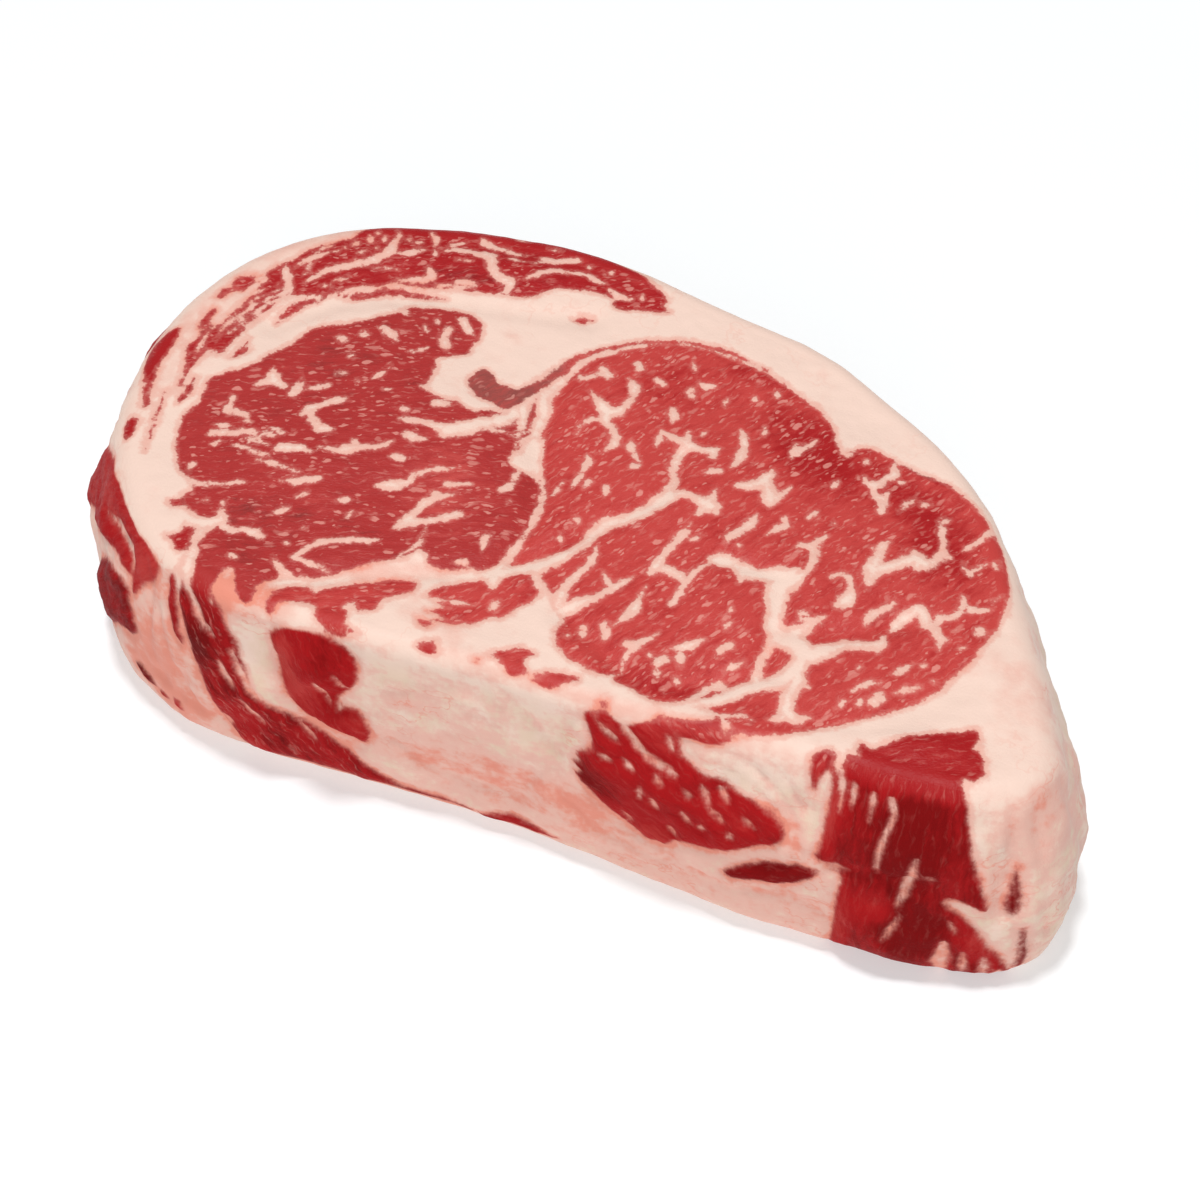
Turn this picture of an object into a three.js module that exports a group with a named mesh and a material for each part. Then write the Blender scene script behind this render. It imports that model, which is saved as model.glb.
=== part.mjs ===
import * as THREE from 'three'

// A thick-cut raw boneless ribeye steak as one solid, lying on its flat lower cut face.
// Millimetres, +Z up, the origin under the middle of its bounding box, +X along its long side.

const THICKNESS = 44.5
const TOP_EDGE_RADIUS = 3.2
const FOOT_RADIUS = 5.5
const BELLY_FULL_AT = 0.65
const TUCK_HEIGHT = 24

// Points around the top edge, counter-clockwise from the left end.
// Each one has x, y, how far the belly of the side stands out past the top edge there,
// and how far the foot draws in again under the belly.
const EDGE = [
  [-95, 1.6, 7.5, 1.5],
  [-92.7, -14.6, 7, 2],
  [-87, -28.4, 7.2, 1.2],
  [-77.7, -40.5, 6.4, 1.4],
  [-65.7, -49.7, 3.8, 2.4],
  [-50, -53.4, 1.2, 2],
  [-28.7, -53, 0, 0.8],
  [-3.7, -51.6, 0.2, 0],
  [19.4, -51.6, 1.6, 0],
  [42.5, -49.7, 5.3, 0],
  [61, -48.3, 6.4, 0],
  [79.6, -46.9, 6.6, 0],
  [90, -41.8, 8.4, 0.6],
  [92.7, -33, 7.5, 1.8],
  [87, -20, 8.2, 1.8],
  [77.9, -2.5, 8.3, 2],
  [67.5, 16, 4.6, 2.3],
  [55, 29.2, 1.2, 2.6],
  [39.2, 39.2, 1.2, 2.8],
  [23.5, 47.2, 1.6, 3],
  [1.1, 51.8, 1.7, 3],
  [-17.4, 55.8, 2.4, 3],
  [-34.4, 56.6, 2.9, 3],
  [-54.6, 53.2, 4.3, 2.6],
  [-73, 46.3, 5.6, 2.2],
  [-86, 34.1, 6.8, 1.9],
  [-93, 19.2, 7.6, 1.6],
]

// Muscles that crown gently out of the top face.
// Middle x and y, half length, half width, turn in degrees, height.
const CROWNS = [
  [28, -5, 49, 40, -22, 1.5],
  [-47, -7, 36, 34, 25, 1.3],
  [-46, 45, 36, 9, 12, 0.9],
  [72, -41, 13, 7, 20, 1],
  [-57, -46, 16, 8, -15, 0.7],
]

// Fat seams that sink a little between the muscles: width, depth, then points along them.
const SEAMS = [
  [2.6, 0.9, [-19, 22], [-18, 6], [-12, -8], [-10, -22], [-14, -31], [-28, -37], [-45, -45], [-49, -51]],
  [2.8, 0.8, [-76, 14], [-68, 24], [-52, 32], [-36, 34], [-20, 38]],
  [2.4, 0.9, [-8, -26], [1, -14], [10, -2], [9, 10]],
  [2.6, 0.9, [4, -34], [24, -46], [41, -34], [37, -13], [25, -12]],
  [2.4, 0.8, [41, -24], [52, -20], [60, -14]],
  [4, 0.7, [54, -42], [66, -34], [74, -24]],
]

// Lumps and hollows of the side, which follow the lean and the fat that show there.
// Distance along the top edge from the left end, height, half length, half height,
// turn in degrees, and how far it stands out.
const LUMPS = [
  [22, 24, 9, 20, -12, 1.8],
  [47, 31, 9, 7, 15, 1.2],
  [56, 16, 8, 10, 0, -1.1],
  [76, 25, 6, 19, 32, 1],
  [84, 32, 4, 10, 20, -1.2],
  [93, 34, 7, 8, 10, 2],
  [97, 20, 6, 5, 0, 1.2],
  [118, 24, 17, 15, 0, 0.8],
  [138, 30, 4, 12, 0, -1],
  [158, 29, 19, 9, -12, 1.7],
  [178, 19, 9, 4, 15, -0.9],
  [183, 34, 4, 8, 0, -1],
  [199, 33, 12, 13, 0, 2.2],
  [199, 25, 14, 3, 0, -1.2],
  [199, 12, 10, 10, 0, 1.4],
  [217, 26, 3.5, 14, 0, -1.7],
  [236, 22, 11, 15, 0, 1.2],
  [262, 24, 9, 16, 8, -0.9],
  [300, 22, 22, 15, 0, 0.9],
  [352, 24, 20, 15, 0, -0.8],
  [392, 26, 24, 9, 4, 1.2],
  [396, 12, 24, 5, 0, 0.8],
  [440, 26, 20, 13, 0, 1.1],
  [470, 22, 12, 15, 0, -0.9],
]

// Slow unevenness of the cut faces.
const WAVE_HEIGHT = 0.35
const WAVE_LENGTH_X = 46
const WAVE_LENGTH_Y = 38
const SIDE_WAVE_HEIGHT = 0.3
const SIDE_WAVE_COUNT = 17
const SIDE_WAVE_DEPTH = 31

// Mesh density.
const RINGS = 26
const EDGE_ROWS = 3
const SIDE_ROWS = 6
const FOOT_ROWS = 3
const FINE_STEPS = 40
const FADE_WIDTH = 7

const AROUND = 8 * RINGS

// The edge point at the narrow end, where a corner of the top face's grid lies.
const CORNER_POINT = Math.round(0.445 * AROUND)
const FULL_TURN = 2 * Math.PI

// A closed smooth curve through rows of numbers, drawn as many short steps.
function smoothLoop(rows, steps) {
  const loop = []
  for (let i = 0; i < rows.length; i += 1) {
    const before = rows[(i + rows.length - 1) % rows.length]
    const start = rows[i]
    const end = rows[(i + 1) % rows.length]
    const after = rows[(i + 2) % rows.length]
    for (let step = 0; step < steps; step += 1) {
      const t = step / steps
      loop.push(start.map((value, k) => 0.5 * (2 * value + (end[k] - before[k]) * t
        + (2 * before[k] - 5 * value + 4 * end[k] - after[k]) * t * t
        + (3 * value - before[k] - 3 * end[k] + after[k]) * t * t * t)))
    }
  }
  return loop
}

// The same closed curve with its points at even distances along it.
function evenLoop(loop, count) {
  const distances = [0]
  for (let i = 0; i < loop.length; i += 1) {
    const a = loop[i]
    const b = loop[(i + 1) % loop.length]
    distances.push(distances[i] + Math.hypot(b[0] - a[0], b[1] - a[1]))
  }
  const length = distances[loop.length]
  const even = []
  let at = 0
  for (let i = 0; i < count; i += 1) {
    const wanted = length * i / count
    while (distances[at + 1] < wanted) at += 1
    const t = (wanted - distances[at]) / (distances[at + 1] - distances[at])
    const next = loop[(at + 1) % loop.length]
    even.push(loop[at].map((value, k) => value + (next[k] - value) * t))
  }
  return { points: even, length }
}

// Where a point lies in a turned ellipse: 0 in its middle, 1 on its edge.
function reachIn(x, y, halfLength, halfWidth, turn) {
  const angle = THREE.MathUtils.degToRad(turn)
  const along = x * Math.cos(angle) + y * Math.sin(angle)
  const across = y * Math.cos(angle) - x * Math.sin(angle)
  return Math.hypot(along / halfLength, across / halfWidth)
}

// A mound that is 1 in the middle and falls smoothly to 0 on the edge.
function mound(reach) {
  return reach < 1 ? (1 - reach * reach) ** 2 : 0
}

// The shortest distance from a point to a line of straight runs.
function distanceToLine(x, y, points) {
  let nearest = Infinity
  for (let i = 0; i + 1 < points.length; i += 1) {
    const [ax, ay] = points[i]
    const dx = points[i + 1][0] - ax
    const dy = points[i + 1][1] - ay
    const t = THREE.MathUtils.clamp(((x - ax) * dx + (y - ay) * dy) / (dx * dx + dy * dy), 0, 1)
    nearest = Math.min(nearest, Math.hypot(x - ax - t * dx, y - ay - t * dy))
  }
  return nearest
}

// Height of the top face over its flat level: muscles crown, seams sink, the rest waves.
function topRelief(x, y) {
  let height = WAVE_HEIGHT * Math.sin(FULL_TURN * x / WAVE_LENGTH_X) * Math.cos(FULL_TURN * y / WAVE_LENGTH_Y)
  for (const [middleX, middleY, halfLength, halfWidth, turn, crown] of CROWNS) {
    height += crown * mound(reachIn(x - middleX, y - middleY, halfLength, halfWidth, turn))
  }
  for (const [width, depth, ...points] of SEAMS) {
    height -= depth * Math.exp(-((distanceToLine(x, y, points) / width) ** 2))
  }
  return height
}

// How far the side stands out of its smooth shape at a place along the edge and a height.
function sideRelief(along, height, length) {
  let out = SIDE_WAVE_HEIGHT * Math.sin(FULL_TURN * SIDE_WAVE_COUNT * along / length)
    * Math.cos(FULL_TURN * height / SIDE_WAVE_DEPTH)
  for (const [middle, middleHeight, halfLength, halfHeight, turn, stand] of LUMPS) {
    const apart = along - middle - length * Math.round((along - middle) / length)
    out += stand * mound(reachIn(apart, height - middleHeight, halfLength, halfHeight, turn))
  }
  return out
}

// Rows down the side: each has a height and how far it is drawn in by the round edges.
function sideRows() {
  const rows = []
  for (let i = 1; i <= EDGE_ROWS; i += 1) {
    const angle = Math.PI / 2 * i / EDGE_ROWS
    rows.push({
      height: THICKNESS - TOP_EDGE_RADIUS * (1 - Math.cos(angle)),
      inset: TOP_EDGE_RADIUS * (1 - Math.sin(angle)),
    })
  }
  const straight = THICKNESS - TOP_EDGE_RADIUS - FOOT_RADIUS
  for (let i = 1; i <= SIDE_ROWS; i += 1) {
    rows.push({ height: THICKNESS - TOP_EDGE_RADIUS - straight * i / SIDE_ROWS, inset: 0 })
  }
  for (let i = 1; i <= FOOT_ROWS; i += 1) {
    const angle = Math.PI / 2 * i / FOOT_ROWS
    rows.push({ height: FOOT_RADIUS * (1 - Math.sin(angle)), inset: FOOT_RADIUS * (1 - Math.cos(angle)) })
  }
  return rows
}

// Steps from the grid's first corner to a point on its square ring, counter-clockwise.
function stepsRound(i, j, ring) {
  if (i === ring && j < ring) return j + ring
  if (j === ring && i > -ring) return 3 * ring - i
  if (i === -ring && j > -ring) return 5 * ring - j
  return 7 * ring + i
}

function buildSteak() {
  const { points: edge, length } = evenLoop(smoothLoop(EDGE, FINE_STEPS), AROUND)
  const positions = []
  const faces = []
  const inner = edge.map(([x, y]) => {
    const size = Math.hypot(x, y)
    return [x * (1 - TOP_EDGE_RADIUS / size), y * (1 - TOP_EDGE_RADIUS / size)]
  })
  const rim = [...inner, inner[0]]

  // The top face: a square grid drawn into the outline, with its relief fading at the edge.
  const grid = new Map()
  const keyOf = (i, j) => (i + RINGS) * (2 * RINGS + 1) + j + RINGS
  for (let i = -RINGS; i <= RINGS; i += 1) {
    for (let j = -RINGS; j <= RINGS; j += 1) {
      const ring = Math.max(Math.abs(i), Math.abs(j))
      const at = CORNER_POINT + (ring === 0 ? 0 : stepsRound(i, j, ring) * RINGS / ring)
      const low = Math.floor(at) % AROUND
      const high = (low + 1) % AROUND
      const t = at - Math.floor(at)
      const share = ring / RINGS
      const x = share * (inner[low][0] * (1 - t) + inner[high][0] * t)
      const y = share * (inner[low][1] * (1 - t) + inner[high][1] * t)
      const fade = THREE.MathUtils.smoothstep(distanceToLine(x, y, rim), 0, FADE_WIDTH)
      grid.set(keyOf(i, j), positions.length / 3)
      positions.push(x, y, THICKNESS + fade * topRelief(x, y))
    }
  }
  for (let i = -RINGS; i < RINGS; i += 1) {
    for (let j = -RINGS; j < RINGS; j += 1) {
      const corners = [grid.get(keyOf(i, j)), grid.get(keyOf(i + 1, j)),
        grid.get(keyOf(i + 1, j + 1)), grid.get(keyOf(i, j + 1))]
      const first = (i + 0.5) * (j + 0.5) > 0 ? 0 : 1
      const [a, b, c, d] = [0, 1, 2, 3].map((k) => corners[(first + k) % 4])
      faces.push(a, b, c, a, c, d)
    }
  }
  let above = new Array(AROUND)
  for (let i = -RINGS; i <= RINGS; i += 1) {
    for (let j = -RINGS; j <= RINGS; j += 1) {
      if (Math.max(Math.abs(i), Math.abs(j)) === RINGS) {
        above[(CORNER_POINT + stepsRound(i, j, RINGS)) % AROUND] = grid.get(keyOf(i, j))
      }
    }
  }

  // The side: rows of points that lean out to the belly, draw in at the foot and carry the lumps.
  for (const { height, inset } of sideRows()) {
    const row = []
    const down = 1 - height / THICKNESS
    const bellyShare = Math.sin(Math.PI / 2 * Math.min(down / BELLY_FULL_AT, 1))
    const tuckShare = Math.max(0, 1 - height / TUCK_HEIGHT) ** 2
    const fade = THREE.MathUtils.smoothstep(THICKNESS - height, 0, FADE_WIDTH)
      * THREE.MathUtils.smoothstep(height, 0, FADE_WIDTH)
    for (let i = 0; i < AROUND; i += 1) {
      const before = edge[(i + AROUND - 1) % AROUND]
      const after = edge[(i + 1) % AROUND]
      const size = Math.hypot(after[0] - before[0], after[1] - before[1])
      const [x, y, belly, tuck] = edge[i]
      const out = belly * bellyShare - tuck * tuckShare - inset
        + fade * sideRelief(length * i / AROUND, height, length)
      row.push(positions.length / 3)
      positions.push(
        x + out * (after[1] - before[1]) / size,
        y - out * (after[0] - before[0]) / size,
        height,
      )
    }
    for (let i = 0; i < AROUND; i += 1) {
      const next = (i + 1) % AROUND
      faces.push(above[i], row[i], row[next], above[i], row[next], above[next])
    }
    above = row
  }

  // The flat lower face.
  const foot = above.map((index) => new THREE.Vector2(positions[3 * index], positions[3 * index + 1]))
  for (const [a, b, c] of THREE.ShapeUtils.triangulateShape(foot, [])) {
    faces.push(above[a], above[c], above[b])
  }

  const geometry = new THREE.BufferGeometry()
  geometry.setAttribute('position', new THREE.Float32BufferAttribute(positions, 3))
  geometry.setIndex(faces)
  geometry.computeBoundingBox()
  const box = geometry.boundingBox
  geometry.translate(-(box.min.x + box.max.x) / 2, -(box.min.y + box.max.y) / 2, -box.min.z)
  geometry.computeVertexNormals()
  return geometry
}

const group = new THREE.Group()
const meat = new THREE.MeshStandardMaterial({ color: 0xb8383c, roughness: 0.5, metalness: 0 })
const steak = new THREE.Mesh(buildSteak(), meat)
steak.name = 'steak'
group.add(steak)

export default group
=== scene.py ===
"""A thick-cut raw boneless ribeye steak, with its marbled lean, fat seams and fat rim.

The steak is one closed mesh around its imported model. Shapes on it are given in millimetres:
on the cut faces as x and y, and on the side as the distance along the top edge from the
left end, counter-clockwise, and the height above the ground.
"""

import math

import bpy
import numpy as np
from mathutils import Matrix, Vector, noise


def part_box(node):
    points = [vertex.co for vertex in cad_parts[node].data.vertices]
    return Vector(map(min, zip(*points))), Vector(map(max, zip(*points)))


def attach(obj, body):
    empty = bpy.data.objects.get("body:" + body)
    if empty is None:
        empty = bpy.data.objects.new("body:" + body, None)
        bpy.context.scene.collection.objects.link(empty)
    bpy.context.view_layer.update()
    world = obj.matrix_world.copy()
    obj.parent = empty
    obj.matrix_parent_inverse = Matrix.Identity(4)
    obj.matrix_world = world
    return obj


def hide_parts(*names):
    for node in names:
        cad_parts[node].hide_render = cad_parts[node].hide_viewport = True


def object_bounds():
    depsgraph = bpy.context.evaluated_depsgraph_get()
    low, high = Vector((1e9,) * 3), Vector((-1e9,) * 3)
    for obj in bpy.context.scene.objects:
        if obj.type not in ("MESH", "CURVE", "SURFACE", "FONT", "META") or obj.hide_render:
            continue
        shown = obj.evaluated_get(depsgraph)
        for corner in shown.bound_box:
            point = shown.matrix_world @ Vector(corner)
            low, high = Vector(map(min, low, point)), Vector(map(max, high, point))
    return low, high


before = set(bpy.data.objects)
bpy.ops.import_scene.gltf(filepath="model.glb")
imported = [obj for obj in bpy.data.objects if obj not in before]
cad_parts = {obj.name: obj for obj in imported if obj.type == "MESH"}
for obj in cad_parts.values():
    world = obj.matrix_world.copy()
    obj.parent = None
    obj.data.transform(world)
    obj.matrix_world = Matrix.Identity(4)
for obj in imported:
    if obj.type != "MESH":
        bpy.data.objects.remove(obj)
CAD_LOW, CAD_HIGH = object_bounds()

bl_info = {
    "name": "Raw ribeye steak",
    "version": (1, 0, 0),
    "blender": (4, 5, 0),
    "location": "3D View > Sidebar > Steak",
    "description": "Builds a marbled raw steak around its packed model, and a pale studio",
    "category": "Object",
}

MILLIMETRE = 0.001
TINY = 1e-9

# The body, with the same driving sizes as the solid.
THICKNESS = 44.5
TOP_EDGE_RADIUS = 3.2
FOOT_RADIUS = 5.5
BELLY_FULL_AT = 0.65
TUCK_HEIGHT = 24

# Points around the top edge, counter-clockwise from the left end:
# x, y, how far the belly stands out there, and how far the foot draws in under it.
EDGE = [
    (-95, 1.6, 7.5, 1.5), (-92.7, -14.6, 7, 2), (-87, -28.4, 7.2, 1.2), (-77.7, -40.5, 6.4, 1.4),
    (-65.7, -49.7, 3.8, 2.4), (-50, -53.4, 1.2, 2), (-28.7, -53, 0, 0.8), (-3.7, -51.6, 0.2, 0),
    (19.4, -51.6, 1.6, 0), (42.5, -49.7, 5.3, 0), (61, -48.3, 6.4, 0), (79.6, -46.9, 6.6, 0),
    (90, -41.8, 8.4, 0.6), (92.7, -33, 7.5, 1.8), (87, -20, 8.2, 1.8), (77.9, -2.5, 8.3, 2),
    (67.5, 16, 4.6, 2.3), (55, 29.2, 1.2, 2.6), (39.2, 39.2, 1.2, 2.8), (23.5, 47.2, 1.6, 3),
    (1.1, 51.8, 1.7, 3), (-17.4, 55.8, 2.4, 3), (-34.4, 56.6, 2.9, 3), (-54.6, 53.2, 4.3, 2.6),
    (-73, 46.3, 5.6, 2.2), (-86, 34.1, 6.8, 1.9), (-93, 19.2, 7.6, 1.6),
]

# Muscles that crown out of the top: middle x and y, half length, half width, turn, height.
CROWNS = [
    (28, -5, 49, 40, -22, 1.5), (-47, -7, 36, 34, 25, 1.3), (-46, 45, 36, 9, 12, 0.9),
    (72, -41, 13, 7, 20, 1), (-57, -46, 16, 8, -15, 0.7),
]

# Fat seams that sink between the muscles: width, depth and the points along them.
SEAMS = [
    (2.6, 0.9, [(-19, 22), (-18, 6), (-12, -8), (-10, -22), (-14, -31), (-28, -37), (-45, -45),
        (-49, -51)]),
    (2.8, 0.8, [(-76, 14), (-68, 24), (-52, 32), (-36, 34), (-20, 38)]),
    (2.4, 0.9, [(-8, -26), (1, -14), (10, -2), (9, 10)]),
    (2.6, 0.9, [(4, -34), (24, -46), (41, -34), (37, -13), (25, -12)]),
    (2.4, 0.8, [(41, -24), (52, -20), (60, -14)]), (4, 0.7, [(54, -42), (66, -34), (74, -24)]),
]

# Lumps and hollows of the side:
# distance along the edge, height, half length, half height, turn, how far it stands out.
LUMPS = [
    (22, 24, 9, 20, -12, 1.8), (47, 31, 9, 7, 15, 1.2), (56, 16, 8, 10, 0, -1.1),
    (76, 25, 6, 19, 32, 1), (84, 32, 4, 10, 20, -1.2), (93, 34, 7, 8, 10, 2),
    (97, 20, 6, 5, 0, 1.2), (118, 24, 17, 15, 0, 0.8), (138, 30, 4, 12, 0, -1),
    (158, 29, 19, 9, -12, 1.7), (178, 19, 9, 4, 15, -0.9), (183, 34, 4, 8, 0, -1),
    (199, 33, 12, 13, 0, 2.2), (199, 25, 14, 3, 0, -1.2), (199, 12, 10, 10, 0, 1.4),
    (217, 26, 3.5, 14, 0, -1.7), (236, 22, 11, 15, 0, 1.2), (262, 24, 9, 16, 8, -0.9),
    (300, 22, 22, 15, 0, 0.9), (352, 24, 20, 15, 0, -0.8), (392, 26, 24, 9, 4, 1.2),
    (396, 12, 24, 5, 0, 0.8), (440, 26, 20, 13, 0, 1.1), (470, 22, 12, 15, 0, -0.9),
]

# Long waves of the top and of the side, and how far from the round edges they fade in.
WAVE_HEIGHT = 0.35
WAVE_LENGTH_X = 46
WAVE_LENGTH_Y = 38
SIDE_WAVE_HEIGHT = 0.3
SIDE_WAVE_COUNT = 17
SIDE_WAVE_DEPTH = 31
FADE_WIDTH = 7

# Mesh density, and how far along the edge the square grid of the top has its first corner.
RINGS = 104
LOWER_RINGS = RINGS // 2
AROUND = 8 * RINGS
EDGE_ROWS = 5
SIDE_ROWS = 31
FOOT_ROWS = 6
FINE_STEPS = 40
OUTLINE_STEPS = 3
CORNER_POINT = round(0.445 * AROUND)

# Fine relief: the sizes of coarse and fine unevenness and of the ridges along the grain,
# then how high each stands on the top and on the side, and the seeds of their patterns.
COARSE_SIZE = 7
FINE_SIZE = 2.4
RIDGE_SIZE = 0.9
GRAIN_STRETCH = 0.18
TOP_HEIGHTS = (0.22, 0.12, 0.12)
SIDE_HEIGHTS = (0.7, 0.3, 0.22)
TOP_SEEDS = (1, 2, 3)
SIDE_SEEDS = (4, 5, 6)
LOWER_RELIEF = 0.25
LOWER_RELIEF_SIZE = 12
LOWER_RELIEF_FULL = 0.6
LOWER_SEED = 7

# Steps between lean and fat: each starts and ends at a distance from the line between them.
GROOVE_WIDTH = 0.7
GROOVE_OFFSET = 0.3
TOP_GROOVE = 0.1
SIDE_GROOVE = 0.35
TOP_LEAN_SINK = -0.1
TOP_STEP = (-0.6, 0.8)
SIDE_STEP = (-0.2, 2.2)
RIDGE_STEP = (0, 1)

# How the fine relief calms down at the rim of the top and on the round edges of the side,
# and how the layout of the top hands over to the one of the side below the rim.
RIM_CALM = 1.5
EDGE_CALM = 0.2
RIM_HANDOVER = (THICKNESS - 1.1 * TOP_EDGE_RADIUS, THICKNESS - 0.2)
SIDE_FROM = (0.3, 3)

# How far the left end's side layout reaches back past the start of the edge.
SIDE_START = 30

# Signed distances are kept within this range, and tones of neighbours blend this far.
# Away from all lean the tone is the usual one.
REACH = 5
TONE_BLEND = 0.8
USUAL_TONE = 0.5
FAINT_WEIGHT = 2e-6

# Lines come out this many times as wide as listed, on the cut faces and on the side.
# Thin ones taper off by TAPER at their ends.
VEIN_WIDTH = 1.28
SIDE_VEIN_WIDTH = 0.9
THIN_END = 0.55
TAPER = 0.3

# The lower face repeats the layout warped, with its fat lines turned half round within
# each large muscle: those left of the middle seam around the blade's middle.
LOWER_WARP = 3
LOWER_WARP_LENGTH = 34
LOWER_PHASES = (1, 2)
MIDDLE_SEAM = -15
EYE_MIDDLE = (29, -5)
BLADE_MIDDLE = (-47, -7)

# The side is rosier towards the foot, less so from the narrow end on around the back,
# and rosier in its creases.
RIM_ROSY = 0.12
FOOT_ROSY = 0.55
END_FROM = 208
END_FADE = 8
END_SHARE = 0.35
CREASE_ROSY = 0.35

# Cap muscle that shows through the fat of the back: how many slips, where, how large,
# and how they are turned, each as the least and the most.
SLIP_COUNT = 22
SLIP_SEED = 11
SLIP_PLACES = (352, 448)
SLIP_HEIGHTS = (9, 43)
SLIP_HALF_LENGTHS = (4, 11)
SLIP_HALF_WIDTHS = (0.4, 1.5)
SLIP_TURNS = (-14, 10)
SLIP_TONE = 0.6
SLIP_WET = 0.3

# Patterns of the material: sizes along its axes in millimetres, detail and seed.
# Each seed moves its pattern away along SEED_SHIFT, so that no two are alike, and each
# pattern varies around MIDDLE.
SEED_SHIFT = (17.3, 5.1, 9.7)
MIDDLE = 0.5
PATTERNS = {
    "bend": ((2.2, 2.2, 2.2), 2, 21),
    "bundles": ((5.5, 1.1, 2), 3, 5),
    "fibres": ((1.8, 0.3, 0.6), 2, 6),
    "clouds": ((6, 6, 6), 3, 7),
    "crowding": ((11, 11, 11), 2, 8),
    "haze": ((3.2, 0.75, 1.2), 3, 9),
    "mottle": ((4, 4, 4), 4, 11),
    "streaks": ((9, 9, 2.6), 4, 12),
    "grains": ((1.3, 1.3, 1.3), 2, 17),
    "ageing": ((6, 6, 10), 3, 18),
    "winding": ((7, 7, 3.5), 3, 13),
    "bloodshot": ((12, 12, 12), 1, 14),
    "sheen": ((2.2, 2.2, 2.2), 2, 15),
    "pores": ((0.5, 0.5, 0.5), 2, 16),
}

# How far the grain is bent, and how strongly three patterns move the tone of the lean.
BEND = 1.8
BUNDLE_STRENGTH = 0.62
FIBRE_STRENGTH = 0.24
CLOUD_STRENGTH = 0.5

# Marbling: cell sizes along, across and up, how large a fleck is in its cell,
# how many cells have one, and the seed.
MARBLING = [
    ((1.7, 0.75, 1.2), 0.44, 0.34, 31),
    ((3, 1.15, 2), 0.44, 0.52, 32),
    ((5.2, 1.9, 3), 0.38, 0.38, 33),
]
FLECK_STRENGTH = 0.72
FLECK_LEAST_SIZE = 0.35
FLECK_LEAST_STRENGTH = 0.45
FLECK_SOFT = (-0.06, 0.12)
FLECK_CHOICE = 0.12
FLECK_EDGE = (0.25, 0.9)

# Flecks crowd together in places, and fewer are on the side and in wet lean.
CROWDED = (0.32, 0.66)
CROWD_LEAST = 0.3
SIDE_CROWD = 0.14
SIDE_CROWD_AT = 0.4
WET_CROWD = 0.15
WET_CROWD_AT = (0.25, 0.6)

# Pale haze over the lean: in streaks, beside the fat, and all over where the lean is dry.
HAZE = 0.42
HAZY = (0.52, 0.78)
SIDE_HAZE = 0.75
WET_HAZE = 0.2
WET_HAZE_AT = (0.2, 0.5)
RIND_HAZE = 0.3
RIND_EDGE = (0.9, 0.05)
DRY_HAZE = 0.5

# The line between lean and fat wanders by noise of these sizes, seeds and strengths,
# less on the side, where it is softer too.
EDGE_WANDER = [(2.6, 1, 2.4), (1.1, 2, 2), (0.45, 3, 1.2)]
WANDER_DETAIL = 1
EDGE_SOFT = (-0.22, 0.24)
SIDE_WANDER = 0.6
SIDE_SOFTNESS = 1.9

# Stain of the fat: patterns with their strength on the top and on the side, the stain
# beside the lean and how far it reaches, and how much stain and painted shade the pink and
# the rosy take.
STAIN_PATTERNS = [("mottle", 0.6, 1), ("streaks", 0.35, 0.9), ("grains", 0.15, 0.6)]
EDGE_STAIN = 0.58
EDGE_STAIN_REACH = 1.6
PINK_AT = 0.5
ROSY_AT = 1.1

# Dried tan fat of the side: where its pattern starts and is full, its least share, and
# how far below the top it is full.
AGED = (0.3, 0.62)
AGED_LEAST = 0.1
AGED_DEPTH = 11

# Fine blood lines in the fat: how wide, in which patches, and how strong.
LINE_WIDTH = 0.022
BLOODSHOT = (0.5, 0.66)
LINE_ON_TOP = 0.15
LINE_ON_SIDE = 0.6

# Wet lean, shine, and the shares of fibres, pores and fat in the bump.
WET_SHARE = 0.45
TOP_SHINE = 0.16
SIDE_SHINE = 0.02
SHEEN_CHANGE = 0.25
BUMP_STRENGTH = 0.5
BUMP_DEPTH = 0.0005
FIBRE_BUMP = 0.5
PORE_BUMP = 0.35
FAT_BUMP = 0.5

# Studio, in metres; the lens is in millimetres.
FLOOR_SIZE = 6
FLOOR_ROUGHNESS = 0.9
KEY_SIZE = 0.34
KEY_PLACE = (-0.12, -0.06, 2.4)
FILL_SIZE = 0.8
FILL_PLACE = (0.25, -0.95, 0.72)
CAMERA_LENS = 93.15
CAMERA_SENSOR = 36

# What the camera looks at, in the millimetres of the layout.
CAMERA_TARGET = (0.925, -9.944, 22)

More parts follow.
